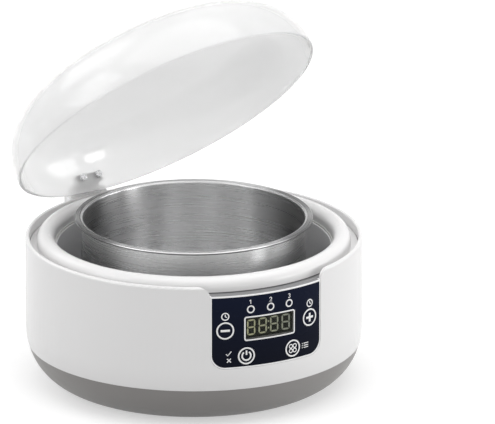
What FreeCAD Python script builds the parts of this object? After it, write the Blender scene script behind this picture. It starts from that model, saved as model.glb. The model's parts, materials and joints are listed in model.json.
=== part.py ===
import FreeCAD, Part
import math
import os

# A round yogurt maker: a white wall on a grey base, a heated metal well under a rounded deck,
# a steel bowl that stands in the well, a clear domed lid on a hinge at the back, and a curved
# control panel in a notch at the front. Millimetres, +Z up, the table at Z = 0, front at -Y.

V = FreeCAD.Vector
UP = V(0, 0, 1)
CENTRE = V(0, 0, 0)

# Wall and base
BODY_RADIUS = 108.0
WALL = 2.6
SHELL_HEIGHT = 69.5
SHELL_TUCK = 1.2
TUCK_HEIGHT = 13.0
LIP_ROUND = 1.7
LIP_CHAMFER = 0.5
BASE_HEIGHT = 24.5
BASE_DRAW_IN = 20.5
BASE_BULGE = 4.0
BASE_STEP = 0.3
LAP_HEIGHT = 3.0
LAP_DEPTH = 3.0
LAP_WALL = 2.2
LAP_GAP = 0.25
FOOT_REACH = 2.0
FOOT_RECESS = 1.0
FOOT_WIDTH = 8.0
FOOT_INSET = 10.0
FOOT_GAP = 0.15

# Deck ring and well
GROOVE_WIDTH = 4.9
MOUTH_ROUND = 5.5
DECK_OUTER_ROUND = 6.0
DECK_RISE = 3.0
DECK_WALL = 2.0
MOUTH_DROP = 8.5
GROOVE_DEPTH = 6.4
DECK_EDGE_GAP = 0.3
LEDGE_WIDTH = 2.2
LEDGE_HEIGHT = 2.5
PAN_INSET = 1.4
PAN_SHEET = 0.8
PAN_FLOOR_RISE = 9.5
PAN_CORNER = 8.0
PAN_LEG_GAP = 0.7
GASKET_THICK = 1.2
GASKET_WIDTH = 3.6
GASKET_INSET = 0.8

# Bowl
BOWL_WELL_GAP = 15.7
BOWL_SHEET = 0.8
BOWL_RIM_RISE = 12.5
BOWL_BEAD = 4.3
BOWL_CORNER = 12.0
BOWL_SEAT_GAP = 0.2

# Lid and its hinge, first drawn closed with the hinge straight at the back
LID_WALL_GAP = 1.3
LID_WALL = 2.2
LID_HEIGHT = 55.0
LID_SKIRT = 3.0
LID_SIDE_ROUND = 38.0
LID_SEAT_GAP = 0.3
LID_OPEN = 43.0
HINGE_TURN = 11.0
HINGE_OUT = 6.0
HINGE_DROP = 3.0
PIN_RADIUS = 1.6
PIN_RUNNING_GAP = 0.05
PIN_SEAT_GAP = 0.02
KNUCKLE_RADIUS = 3.5
KNUCKLE_LENGTH = 20.0
KNUCKLE_SIDE_GAP = 0.3
EAR_THICK = 4.0
EAR_RADIUS = 4.0
ARM_LIP_GAP = 0.8
ARM_THICK = 3.0
PAD_HEIGHT = 6.0
PAD_BED = 0.05
BRACKET_SWING_GAP = 0.9
BRACKET_HEIGHT = 12.0
BRACKET_BED = 0.05
BRACKET_TOE = 1.5
BRACKET_FACE = 4.0
LID_SCREW_SPREAD = 12.0
HINGE_SCREW_SPREAD = 16.0

# Control panel
PANEL_HALF_WIDTH = 39.4
PANEL_TOP_DROP = 6.6
PANEL_BOTTOM_DROP = 55.2
PANEL_CORNER = 9.5
NOTCH_SHOULDER = 7.0
PANEL_GAP = 0.2
PANEL_BORDER = 0.8
FRAME_SET_BACK = 0.2
FRAME_TO_OVERLAY = 0.3
OVERLAY_THICK = 0.6
OVERLAY_BED = 0.03
FRAME_FLANGE = 1.8
FRAME_FLANGE_SIDE = 4.0
KEY_RADIUS = 6.0
KEY_GAP = 0.2
KEY_STEM_RADIUS = 2.0
KEY_TRAVEL = 0.5
KEY_REST_GAP = 0.4
TIME_KEY_INSET = 9.3
TIME_KEY_DROP = 29.5
LOWER_KEY_X = 16.5
LOWER_KEY_LIFT = 7.9
LED_SPACING = 13.7
LED_DROP = 16.5
LED_RADIUS = 1.5
LED_FLANGE = 0.5
LED_GAP = 0.15
LED_SET_BACK = 0.2
WINDOW_WIDTH = 34.0
WINDOW_HEIGHT = 14.2
WINDOW_DROP = 29.3
WINDOW_GAP = 0.1
WINDOW_THICK = 1.2
MODULE_GAP = 0.6
MODULE_MARGIN = 0.6

# Control board
BOARD_THICK = 1.6
BOARD_PAN_GAP = 3.4
BOARD_SIDE_INSET = 2.4
BOARD_EDGE_DROP = 11.0
BOARD_FOOT_LIFT = 2.2
BOARD_SCREW_INSET = 3.0
SWITCH_SIDE = 6.0
SWITCH_HEIGHT = 3.5
STUD_RADIUS = 2.4

# Screws: shank radius, its clearance in what it passes and its bite in what it holds
SHANK = 1.0
SHANK_PASS = 0.35
SHANK_BITE = 0.05
HEAD_RADIUS = 2.3
HEAD_HEIGHT = 1.5
BASE_SHANK = 1.3
BASE_HEAD_RADIUS = 3.2
BASE_HEAD_HEIGHT = 2.2
BASE_HEAD_GAP = 0.7
BOSS_RADIUS = 4.2
BOSS_FLOOR_INSET = 5.0
BOSS_PAN_GAP = 1.2
BOSS_CAP = 2.5
BOSS_RIB = 9.0
TOWER_RADIUS = 5.6
TOWER_SEAT = 6.0
CORNER_ANGLES = (45.0, 135.0, 225.0, 315.0)

# Heating under the well
HEAT_PLATE_RADIUS = 50.0
HEAT_PLATE_THICK = 2.0
HEATER_POST_GAP = 2.5
HEATER_MIDDLE_GAP = 3.0
HEATER_WIDTH = 16.0
HEATER_THICK = 5.0
CLAMP_THICK = 1.2
CLAMP_WIDTH = 18.0
CLAMP_END = 5.0
POST_EDGE_INSET = 6.5
POST_RADIUS = 3.0
SENSOR_RADIUS = 5.0
SENSOR_GAP = 0.4
SENSOR_FLANGE = 1.8
SENSOR_FLANGE_THICK = 1.2
FUSE_RADIUS = 2.0
FUSE_LENGTH = 12.0
FUSE_OFFSET = -30.0
FUSE_BED = 0.02

# Power board on the base
POWER_Y = 40.0
POWER_HALF_X = 33.0
POWER_HALF_Y = 21.0
POWER_LIFT = 5.4
POWER_SCREW_INSET = 4.0
POST_STAND_RADIUS = 3.2
TERMINAL_SIZE = (20.0, 9.0, 10.0)
TERMINAL_AT = (-13.0, 14.0)
RELAY_SIZE = (19.0, 15.0, 11.0)
RELAY_AT = (13.0, 9.0)
TRANSFORMER_SIZE = (18.0, 15.0, 11.0)
TRANSFORMER_EDGE = 17.0
TRANSFORMER_AT = (TRANSFORMER_EDGE - POWER_HALF_X, -7.5)
CAPACITOR_RADIUS = 4.5
CAPACITOR_HEIGHT = 10.0
CAPACITOR_AT = (1.0, -4.0)
HEADER_SIZE = (8.0, 6.0, 5.0)
HEADER_Y = -15.0
PANEL_HEADER_X = 14.0
SENSOR_HEADER_X = 0.0

# Cord inlet at the back
INLET_RISE = 11.5
INLET_HALF_WIDTH = 12.0
INLET_HALF_HEIGHT = 6.5
INLET_FRONT_WALL = 1.6
INLET_LENGTH = 15.0
SOCKET_DEPTH = 12.0
INLET_GAP = 0.15
INLET_FLANGE = 2.0
INLET_PIN_RADIUS = 1.2
INLET_PIN_SPACING = 8.6
INLET_PIN_LENGTH = 9.0
INLET_TAB = 3.0
LEAD_RADIUS = 1.2
CABLE_RADIUS = 1.8

# Levels and radii that follow from the sizes above
SPLIT_Z = FOOT_REACH + BASE_HEIGHT
LIP_Z = SPLIT_Z + SHELL_HEIGHT
SHELL_INNER = BODY_RADIUS - WALL
SHELL_FOOT = BODY_RADIUS - SHELL_TUCK
BASE_TOP = SHELL_FOOT - BASE_STEP
BASE_FLOOR_RADIUS = BASE_TOP - BASE_DRAW_IN
BASE_FLOOR_Z = FOOT_REACH + WALL
BOSS_CIRCLE = BASE_FLOOR_RADIUS - BOSS_FLOOR_INSET
CREST_Z = LIP_Z + DECK_RISE
GROOVE_RADIUS = SHELL_INNER - GROOVE_WIDTH
CREST_RADIUS = GROOVE_RADIUS - DECK_OUTER_ROUND
MOUTH_RADIUS = CREST_RADIUS - MOUTH_ROUND
GROOVE_Z = LIP_Z - GROOVE_DEPTH
DECK_EDGE = SHELL_INNER - DECK_EDGE_GAP
LEDGE_Z = GROOVE_Z - DECK_WALL
MOUTH_Z = CREST_Z - MOUTH_DROP
FLANGE_Z = MOUTH_Z - GASKET_THICK
PAN_RADIUS = MOUTH_RADIUS - PAN_INSET
PAN_OUTER = PAN_RADIUS + PAN_SHEET
PAN_FLANGE_RADIUS = GROOVE_RADIUS - DECK_WALL - PAN_LEG_GAP
PAN_FLOOR_Z = SPLIT_Z + PAN_FLOOR_RISE
PAN_UNDER_Z = PAN_FLOOR_Z - PAN_SHEET
BOSS_TOP_Z = PAN_UNDER_Z - BOSS_PAN_GAP
BASE_SCREW_BITE = BOSS_TOP_Z - BOSS_CAP - SPLIT_Z
BOWL_RADIUS = PAN_RADIUS - BOWL_WELL_GAP
BOWL_FOOT_Z = PAN_FLOOR_Z + BOWL_SEAT_GAP
BOWL_RIM_Z = LIP_Z + BOWL_RIM_RISE
LID_RADIUS = SHELL_INNER - LID_WALL_GAP
LID_FOOT_Z = GROOVE_Z + LID_SEAT_GAP
HINGE_Y = BODY_RADIUS + HINGE_OUT
HINGE_Z = LIP_Z - HINGE_DROP
ARM_Z = LIP_Z + ARM_LIP_GAP
BRACKET_TOP_Z = HINGE_Z - math.hypot(KNUCKLE_RADIUS, ARM_Z + ARM_THICK - HINGE_Z) - BRACKET_SWING_GAP
BRACKET_FOOT_Z = BRACKET_TOP_Z - BRACKET_HEIGHT
EAR_X = KNUCKLE_LENGTH / 2 + KNUCKLE_SIDE_GAP
FRAME_FACE = BODY_RADIUS - FRAME_SET_BACK
OVERLAY_FACE = FRAME_FACE - FRAME_TO_OVERLAY
OVERLAY_BACK = OVERLAY_FACE - OVERLAY_THICK
WINDOW_BACK = OVERLAY_FACE - WINDOW_THICK
FLANGE_FACE = SHELL_INNER - PANEL_GAP
FRAME_BACK = FLANGE_FACE - FRAME_FLANGE
PANEL_TOP_Z = LIP_Z - PANEL_TOP_DROP
PANEL_BOTTOM_Z = LIP_Z - PANEL_BOTTOM_DROP
BOARD_BACK_Y = -(PAN_OUTER + BOARD_PAN_GAP)
BOARD_FACE_Y = BOARD_BACK_Y - BOARD_THICK
BOARD_TOP_Z = LIP_Z - BOARD_EDGE_DROP
BOARD_FOOT_Z = PANEL_BOTTOM_Z + BOARD_FOOT_LIFT
BOARD_HALF_WIDTH = PANEL_HALF_WIDTH - BOARD_SIDE_INSET
SWITCH_FACE_Y = BOARD_FACE_Y - SWITCH_HEIGHT
STEM_END_Y = SWITCH_FACE_Y - KEY_TRAVEL - KEY_REST_GAP
HEAT_PLATE_Z = PAN_UNDER_Z - HEAT_PLATE_THICK
HEATER_Z = HEAT_PLATE_Z - HEATER_THICK
POST_OFFSET = HEAT_PLATE_RADIUS - POST_EDGE_INSET
HEATER_NEAR = SENSOR_RADIUS + HEATER_MIDDLE_GAP
HEATER_FAR = POST_OFFSET - POST_RADIUS - HEATER_POST_GAP
HEATER_OFFSET = (HEATER_NEAR + HEATER_FAR) / 2
HEATER_LENGTH = HEATER_FAR - HEATER_NEAR
CLAMP_Z = HEATER_Z - CLAMP_THICK
POWER_Z = BASE_FLOOR_Z + POWER_LIFT
POWER_TOP_Z = POWER_Z + BOARD_THICK
INLET_Z = SPLIT_Z + INLET_RISE
INLET_FACE = BODY_RADIUS - FRAME_SET_BACK
INLET_BACK_Y = INLET_FACE - INLET_LENGTH

TIME_KEY_X = PANEL_HALF_WIDTH - TIME_KEY_INSET
TIME_KEY_Z = LIP_Z - TIME_KEY_DROP
LOWER_KEY_Z = PANEL_BOTTOM_Z + LOWER_KEY_LIFT
KEYS = {
    "key_minus": (-TIME_KEY_X, TIME_KEY_Z),
    "key_plus": (TIME_KEY_X, TIME_KEY_Z),
    "key_power": (-LOWER_KEY_X, LOWER_KEY_Z),
    "key_function": (LOWER_KEY_X, LOWER_KEY_Z),
}
LEDS = {
    "indicator_led_left": -LED_SPACING,
    "indicator_led_middle": 0.0,
    "indicator_led_right": LED_SPACING,
}
LED_Z = LIP_Z - LED_DROP
WINDOW_Z = LIP_Z - WINDOW_DROP


def line(a, b):
    """A straight edge between two (radius, height) points of a profile."""
    return Part.makeLine(V(a[0], 0, a[1]), V(b[0], 0, b[1]))


def arc(a, middle, b):
    """A round edge through three (radius, height) points of a profile."""
    return Part.Arc(V(a[0], 0, a[1]), V(middle[0], 0, middle[1]), V(b[0], 0, b[1])).toShape()


def turn_arc(centre, radius, start, end):
    """A round edge about a centre in a profile, from one angle to another in degrees."""
    points = []
    for angle in (start, (start + end) / 2, end):
        a = math.radians(angle)
        points.append((centre[0] + radius * math.cos(a), centre[1] + radius * math.sin(a)))
    return arc(*points)


def bulged_arc(a, b, bulge):
    """A round edge from a to b that bulges to the left of its chord."""
    chord = math.hypot(b[0] - a[0], b[1] - a[1])
    side = ((b[1] - a[1]) / chord, -(b[0] - a[0]) / chord)
    middle = ((a[0] + b[0]) / 2 - side[0] * bulge, (a[1] + b[1]) / 2 - side[1] * bulge)
    return arc(a, middle, b)


def revolved(edges):
    """The solid of a closed profile turned about the vertical axis."""
    wire = Part.Wire(Part.__sortEdges__(edges))
    return Part.Face(wire).revolve(CENTRE, UP, 360)


def outline(points):
    """Straight edges around a closed profile."""
    return [line(a, b) for a, b in zip(points, points[1:] + points[:1])]


def tube(inner, outer, low, high):
    """A plain ring between two radii and two heights."""
    return revolved(outline([(inner, low), (outer, low), (outer, high), (inner, high)]))


def disc(radius, low, high, x=0.0, y=0.0):
    """An upright cylinder."""
    return Part.makeCylinder(radius, high - low, V(x, y, low))


def rod_y(radius, x, z, near, far):
    """A cylinder along Y between two Y values."""
    return Part.makeCylinder(radius, far - near, V(x, near, z), V(0, 1, 0))


def block(x0, x1, y0, y1, z0, z1):
    """A box between its limits."""
    return Part.makeBox(x1 - x0, y1 - y0, z1 - z0, V(x0, y0, z0))


def polar(radius, angle):
    """The X and Y of a point on a circle about the vertical axis."""
    return radius * math.cos(math.radians(angle)), radius * math.sin(math.radians(angle))


def joined(shape, others):
    """One solid from overlapping ones."""
    return shape.fuse(others).removeSplitter()


def depth_at(radius, x):
    """The Y of the front of a cylinder about the vertical axis, at a given X."""
    return -math.sqrt(radius * radius - x * x)


def screw(at, direction, length, shank=SHANK, head=HEAD_RADIUS, head_height=HEAD_HEIGHT):
    """A round-headed screw: its shank runs along the direction from the seat of its head."""
    way = V(*direction)
    seat = V(*at)
    shape = Part.makeCylinder(shank, length, seat, way)
    return shape.fuse(Part.makeCylinder(head, head_height, seat - way * head_height, way))


def lead(points, radius):
    """A round wire along straight runs with tangent bends between them."""
    corners = [V(*p) for p in points]
    edges = []
    start = corners[0]
    for before, corner, after in zip(corners, corners[1:], corners[2:]):
        into = (corner - before).normalize()
        out = (after - corner).normalize()
        turn = into.getAngle(out)
        room = 0.45 * min((corner - before).Length, (after - corner).Length)
        first = corner - into * room
        last = corner + out * room
        bend = room / math.tan(turn / 2)
        inward = (out - into).normalize()
        hub = corner + inward * (bend / math.cos(turn / 2))
        edges.append(Part.makeLine(start, first))
        edges.append(Part.Arc(first, hub - inward * bend, last).toShape())
        start = last
    edges.append(Part.makeLine(start, corners[-1]))
    way = (corners[1] - corners[0]).normalize()
    ring = Part.Wire(Part.makeCircle(radius, corners[0], way))
    return Part.Wire(edges).makePipeShell([ring], True, False)


def turned_to_hinge(shape):
    """A copy of a shape drawn at the back, turned to where the hinge stands."""
    copy = shape.copy()
    copy.rotate(CENTRE, UP, HINGE_TURN)
    return copy


def opened(shape):
    """A lid shape swung open about the hinge and turned to its place."""
    copy = shape.copy()
    copy.rotate(V(0, HINGE_Y, HINGE_Z), V(-1, 0, 0), LID_OPEN)
    return turned_to_hinge(copy)


def panel_prism(inset, top, side=0.0):
    """The panel's upright outline with round lower corners, run from front to centre along Y."""
    half = PANEL_HALF_WIDTH - inset + side
    low = PANEL_BOTTOM_Z + inset - side
    r = PANEL_CORNER - inset + side
    edges = [
        line((half, top), (half, low + r)),
        turn_arc((half - r, low + r), r, 0, -90),
        line((half - r, low), (r - half, low)),
        turn_arc((r - half, low + r), r, -90, -180),
        line((-half, low + r), (-half, top)),
        line((-half, top), (half, top)),
    ]
    face = Part.Face(Part.Wire(edges))
    return face.extrude(V(0, -(BODY_RADIUS + WALL), 0))


def notch_prism():
    """What the wall leaves out for the panel, with round shoulders at the lip."""
    half = PANEL_HALF_WIDTH
    r = PANEL_CORNER
    wide = half + NOTCH_SHOULDER
    shoulder = LIP_Z - NOTCH_SHOULDER
    high = LIP_Z + WALL
    edges = [
        line((wide, high), (wide, LIP_Z)),
        turn_arc((wide, shoulder), NOTCH_SHOULDER, 90, 180),
        line((half, shoulder), (half, PANEL_BOTTOM_Z + r)),
        turn_arc((half - r, PANEL_BOTTOM_Z + r), r, 0, -90),
        line((half - r, PANEL_BOTTOM_Z), (r - half, PANEL_BOTTOM_Z)),
        turn_arc((r - half, PANEL_BOTTOM_Z + r), r, -90, -180),
        line((-half, PANEL_BOTTOM_Z + r), (-half, shoulder)),
        turn_arc((-wide, shoulder), NOTCH_SHOULDER, 0, 90),
        line((-wide, LIP_Z), (-wide, high)),
        line((-wide, high), (wide, high)),
    ]
    face = Part.Face(Part.Wire(edges))
    return face.extrude(V(0, -(BODY_RADIUS + WALL), 0))


def hinge_screw_sites():
    """Where the two screws through the wall hold the hinge bracket, as (x, z)."""
    z = (BRACKET_TOP_Z + BRACKET_FOOT_Z) / 2
    return [(-HINGE_SCREW_SPREAD / 2, z), (HINGE_SCREW_SPREAD / 2, z)]


def make_shell():
    """The white wall, with the ledge for the deck and the bosses for the base screws."""
    top = SPLIT_Z + TUCK_HEIGHT
    sweep = (TUCK_HEIGHT ** 2 + SHELL_TUCK ** 2) / (2 * SHELL_TUCK)
    drop = math.degrees(math.asin(TUCK_HEIGHT / sweep))
    edges = [
        line((SHELL_INNER, SPLIT_Z), (SHELL_FOOT, SPLIT_Z)),
        turn_arc((BODY_RADIUS - sweep, top), sweep, -drop, 0),
        line((BODY_RADIUS, top), (BODY_RADIUS, LIP_Z - LIP_ROUND)),
        turn_arc((BODY_RADIUS - LIP_ROUND, LIP_Z - LIP_ROUND), LIP_ROUND, 0, 90),
        line((BODY_RADIUS - LIP_ROUND, LIP_Z), (SHELL_INNER + LIP_CHAMFER, LIP_Z)),
        line((SHELL_INNER + LIP_CHAMFER, LIP_Z), (SHELL_INNER, LIP_Z - LIP_CHAMFER)),
        line((SHELL_INNER, LIP_Z - LIP_CHAMFER), (SHELL_INNER, SPLIT_Z)),
    ]
    shell = revolved(edges)
    ledge = tube(SHELL_INNER - LEDGE_WIDTH, SHELL_INNER + WALL / 2, LEDGE_Z - LEDGE_HEIGHT, LEDGE_Z)
    additions = [ledge]
    for angle in CORNER_ANGLES:
        x, y = polar(BOSS_CIRCLE, angle)
        additions.append(disc(BOSS_RADIUS, SPLIT_Z, BOSS_TOP_Z, x, y))
        rib_foot = SPLIT_Z + LAP_HEIGHT + 1.0
        rib = block(BOSS_CIRCLE, SHELL_INNER + WALL / 2, -BOSS_RIB / 2, BOSS_RIB / 2,
                    rib_foot, BOSS_TOP_Z)
        rib.rotate(CENTRE, UP, angle)
        additions.append(rib)
    shell = joined(shell, additions)
    cuts = [notch_prism()]
    for angle in CORNER_ANGLES:
        x, y = polar(BOSS_CIRCLE, angle)
        cuts.append(disc(BASE_SHANK + SHANK_BITE, SPLIT_Z, SPLIT_Z + BASE_SCREW_BITE + 1.0, x, y))
    for x, z in hinge_screw_sites():
        hole = rod_y(SHANK + SHANK_PASS, x, z, SHELL_INNER - WALL, BODY_RADIUS + WALL)
        cuts.append(turned_to_hinge(hole))
    cuts.append(block(-INLET_HALF_WIDTH, INLET_HALF_WIDTH, SHELL_INNER - WALL, BODY_RADIUS + WALL,
                      INLET_Z - INLET_HALF_HEIGHT, INLET_Z + INLET_HALF_HEIGHT))
    return shell.cut(cuts)


def foot_ring(gap, low, high):
    """The ring that the rubber foot fills under the base, with a gap around it."""
    outer = BASE_FLOOR_RADIUS - FOOT_INSET
    return tube(outer - FOOT_WIDTH - gap, outer + gap, low, high)


def make_base():
    """The grey bottom cover with its lap joint, screw towers, foot recess and board posts."""
    outer = [
        line((0, FOOT_REACH), (BASE_FLOOR_RADIUS, FOOT_REACH)),
        bulged_arc((BASE_FLOOR_RADIUS, FOOT_REACH), (BASE_TOP, SPLIT_Z), -BASE_BULGE),
        line((BASE_TOP, SPLIT_Z), (0, SPLIT_Z)),
        line((0, SPLIT_Z), (0, FOOT_REACH)),
    ]
    solid = revolved(outer)
    inner_floor = BASE_FLOOR_RADIUS - WALL / 2
    inner_top = BASE_TOP - WALL
    inner = [
        line((0, BASE_FLOOR_Z), (inner_floor, BASE_FLOOR_Z)),
        bulged_arc((inner_floor, BASE_FLOOR_Z), (inner_top, SPLIT_Z), -BASE_BULGE),
        line((inner_top, SPLIT_Z), (0, SPLIT_Z)),
        line((0, SPLIT_Z), (0, BASE_FLOOR_Z)),
    ]
    cover = solid.cut(revolved(inner))
    lap_outer = SHELL_INNER - LAP_GAP
    additions = [tube(lap_outer - LAP_WALL, lap_outer, SPLIT_Z - LAP_DEPTH, SPLIT_Z + LAP_HEIGHT)]
    cuts = [foot_ring(FOOT_GAP, FOOT_REACH, FOOT_REACH + FOOT_RECESS)]
    seat = SPLIT_Z - TOWER_SEAT
    for angle in CORNER_ANGLES:
        x, y = polar(BOSS_CIRCLE, angle)
        additions.append(disc(TOWER_RADIUS, FOOT_REACH, SPLIT_Z, x, y).common(solid))
        cuts.append(disc(BASE_HEAD_RADIUS + BASE_HEAD_GAP, 0, seat, x, y))
        cuts.append(disc(BASE_SHANK + SHANK_PASS, seat, SPLIT_Z, x, y))
    for x, y in power_screw_sites():
        additions.append(disc(POST_STAND_RADIUS, BASE_FLOOR_Z - WALL / 2, POWER_Z, x, y))
        cuts.append(disc(SHANK + SHANK_BITE, BASE_FLOOR_Z, POWER_Z, x, y))
    return joined(cover, additions).cut(cuts)


def make_deck():
    """The rounded ring around the well, the lid groove outside it and the bosses for the well."""
    w = DECK_WALL
    inner_z = CREST_Z - MOUTH_ROUND
    outer_z = CREST_Z - DECK_OUTER_ROUND
    leg = GROOVE_RADIUS - w
    edges = [
        line((DECK_EDGE, GROOVE_Z), (GROOVE_RADIUS, GROOVE_Z)),
        line((GROOVE_RADIUS, GROOVE_Z), (GROOVE_RADIUS, outer_z)),
        turn_arc((CREST_RADIUS, outer_z), DECK_OUTER_ROUND, 0, 90),
        turn_arc((CREST_RADIUS, inner_z), MOUTH_ROUND, 90, 180),
        line((MOUTH_RADIUS, inner_z), (MOUTH_RADIUS, MOUTH_Z)),
        line((MOUTH_RADIUS, MOUTH_Z), (MOUTH_RADIUS + w, MOUTH_Z)),
        line((MOUTH_RADIUS + w, MOUTH_Z), (MOUTH_RADIUS + w, inner_z)),
        turn_arc((CREST_RADIUS, inner_z), MOUTH_ROUND - w, 180, 90),
        turn_arc((CREST_RADIUS, outer_z), DECK_OUTER_ROUND - w, 90, 0),
        line((leg, outer_z), (leg, LEDGE_Z)),
        line((leg, LEDGE_Z), (DECK_EDGE, LEDGE_Z)),
        line((DECK_EDGE, LEDGE_Z), (DECK_EDGE, GROOVE_Z)),
    ]
    bosses = []
    holes = []
    for angle in CORNER_ANGLES:
        x, y = polar(CREST_RADIUS, angle)
        bosses.append(disc(STUD_RADIUS, FLANGE_Z, CREST_Z - w / 2, x, y))
        holes.append(disc(SHANK + SHANK_BITE, FLANGE_Z, inner_z + SHANK, x, y))
    return joined(revolved(edges), bosses).cut(holes)


def make_pan():
    """The drawn metal well with its flange under the deck."""
    r = PAN_RADIUS
    t = PAN_SHEET
    corner = (r - PAN_CORNER, PAN_FLOOR_Z + PAN_CORNER)
    under = FLANGE_Z - t
    edges = [
        line((0, PAN_FLOOR_Z), (corner[0], PAN_FLOOR_Z)),
        turn_arc(corner, PAN_CORNER, -90, 0),
        line((r, corner[1]), (r, FLANGE_Z)),
        line((r, FLANGE_Z), (PAN_FLANGE_RADIUS, FLANGE_Z)),
        line((PAN_FLANGE_RADIUS, FLANGE_Z), (PAN_FLANGE_RADIUS, under)),
        line((PAN_FLANGE_RADIUS, under), (PAN_OUTER, under)),
        line((PAN_OUTER, under), (PAN_OUTER, corner[1])),
        turn_arc(corner, PAN_CORNER + t, 0, -90),
        line((corner[0], PAN_UNDER_Z), (0, PAN_UNDER_Z)),
        line((0, PAN_UNDER_Z), (0, PAN_FLOOR_Z)),
    ]
    holes = []
    for angle in CORNER_ANGLES:
        x, y = polar(CREST_RADIUS, angle)
        holes.append(disc(SHANK + SHANK_PASS, under, FLANGE_Z, x, y))
    return revolved(edges).cut(holes)


def make_bowl():
    """The steel bowl: a drawn cup with a rolled rim."""
    r = BOWL_RADIUS
    t = BOWL_SHEET
    inner = r - t
    bead = BOWL_BEAD / 2
    middle = (r + bead, BOWL_RIM_Z - bead)
    bend = bead + t
    tuck = bead * math.sqrt(0.5)
    low = middle[1] - tuck
    corner = (r - BOWL_CORNER, BOWL_FOOT_Z + BOWL_CORNER)
    edges = [
        line((0, BOWL_FOOT_Z), (corner[0], BOWL_FOOT_Z)),
        turn_arc(corner, BOWL_CORNER, -90, 0),
        line((r, corner[1]), (r, low)),
        line((r, low), (middle[0] - tuck, low)),
        turn_arc(middle, bead, -135, 90),
        turn_arc((middle[0], BOWL_RIM_Z - bend), bend, 90, 180),
        line((inner, BOWL_RIM_Z - bend), (inner, corner[1])),
        turn_arc(corner, BOWL_CORNER - t, 0, -90),
        line((corner[0], BOWL_FOOT_Z + t), (0, BOWL_FOOT_Z + t)),
        line((0, BOWL_FOOT_Z + t), (0, BOWL_FOOT_Z)),
    ]
    return revolved(edges)


def dome_edges(grow):
    """The half profile of the closed lid's outer side, moved outwards by a distance."""
    radius = LID_RADIUS
    reach = radius - LID_SIDE_ROUND
    rise = LID_HEIGHT - LID_SKIRT
    crown = (reach ** 2 + rise ** 2 - LID_SIDE_ROUND ** 2) / (2 * (rise - LID_SIDE_ROUND))
    side = (reach, LID_FOOT_Z + LID_SKIRT)
    top = (0.0, LID_FOOT_Z + LID_HEIGHT - crown)
    meet = math.degrees(math.atan2(side[1] - top[1], side[0]))
    edges = [
        line((radius + grow, LID_FOOT_Z), (radius + grow, side[1])),
        turn_arc(side, LID_SIDE_ROUND + grow, 0, meet),
        turn_arc(top, crown + grow, meet, 90),
    ]
    return edges, top[1] + crown + grow


def dome_solid(grow):
    """The closed lid filled in, moved outwards by a distance."""
    edges, apex = dome_edges(grow)
    edges.append(line((0, apex), (0, LID_FOOT_Z)))
    edges.append(line((0, LID_FOOT_Z), (LID_RADIUS + grow, LID_FOOT_Z)))
    return revolved(edges)


def lid_screw_sites():
    """Where two screws hold the arm to the lid, as (x, z)."""
    z = ARM_Z + PAD_HEIGHT / 2
    return [(-LID_SCREW_SPREAD / 2, z), (LID_SCREW_SPREAD / 2, z)]


def dome_side_y(x, z, grow):
    """The Y of the back of the closed lid's side at a place, moved outwards by a distance."""
    up = z - LID_FOOT_Z - LID_SKIRT
    radius = LID_RADIUS - LID_SIDE_ROUND + math.sqrt((LID_SIDE_ROUND + grow) ** 2 - up * up)
    return math.sqrt(radius * radius - x * x)


def make_lid():
    """The clear domed lid, closed, with holes for the screws of its arm."""
    dome = dome_solid(0.0).cut(dome_solid(-LID_WALL))
    holes = []
    for x, z in lid_screw_sites():
        holes.append(rod_y(SHANK + SHANK_PASS, x, z, SHELL_INNER - 4 * LID_WALL, HINGE_Y))
    return dome.cut(holes)


def make_lid_arm():
    """The arm behind the lid: a pad on the lid's side, a bar over the lip and the knuckle."""
    half = KNUCKLE_LENGTH / 2
    low = ARM_Z
    high = ARM_Z + ARM_THICK
    bar = block(-half, half, LID_RADIUS - LID_WALL - ARM_THICK, HINGE_Y + KNUCKLE_RADIUS, low, high)
    pad_back = dome_side_y(0, low, PAD_BED) + ARM_THICK
    pad = block(-half, half, LID_RADIUS - LID_WALL - ARM_THICK, pad_back, low, low + PAD_HEIGHT)
    drop = block(-half, half, HINGE_Y - KNUCKLE_RADIUS, HINGE_Y + KNUCKLE_RADIUS, HINGE_Z, high)
    knuckle = Part.makeCylinder(KNUCKLE_RADIUS, KNUCKLE_LENGTH, V(-half, HINGE_Y, HINGE_Z), V(1, 0, 0))
    arm = joined(bar, [pad, drop, knuckle]).cut(dome_solid(PAD_BED))
    bore = Part.makeCylinder(PIN_RADIUS + PIN_RUNNING_GAP, KNUCKLE_LENGTH,
                             V(-half, HINGE_Y, HINGE_Z), V(1, 0, 0))
    holes = [bore]
    for x, z in lid_screw_sites():
        holes.append(rod_y(SHANK + SHANK_BITE, x, z, LID_RADIUS - 3 * LID_WALL, pad_back))
    return arm.cut(holes)


def make_lid_screws():
    """The two screws from inside the lid into its arm."""
    screws = []
    for x, z in lid_screw_sites():
        seat = dome_side_y(abs(x) + HEAD_RADIUS, z + HEAD_RADIUS, -LID_WALL) - PAD_BED
        length = dome_side_y(x, z, 0.0) + ARM_THICK / 2 - seat
        screws.append(screw((x, seat, z), (0, 1, 0), length))
    return Part.makeCompound(screws)


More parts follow.
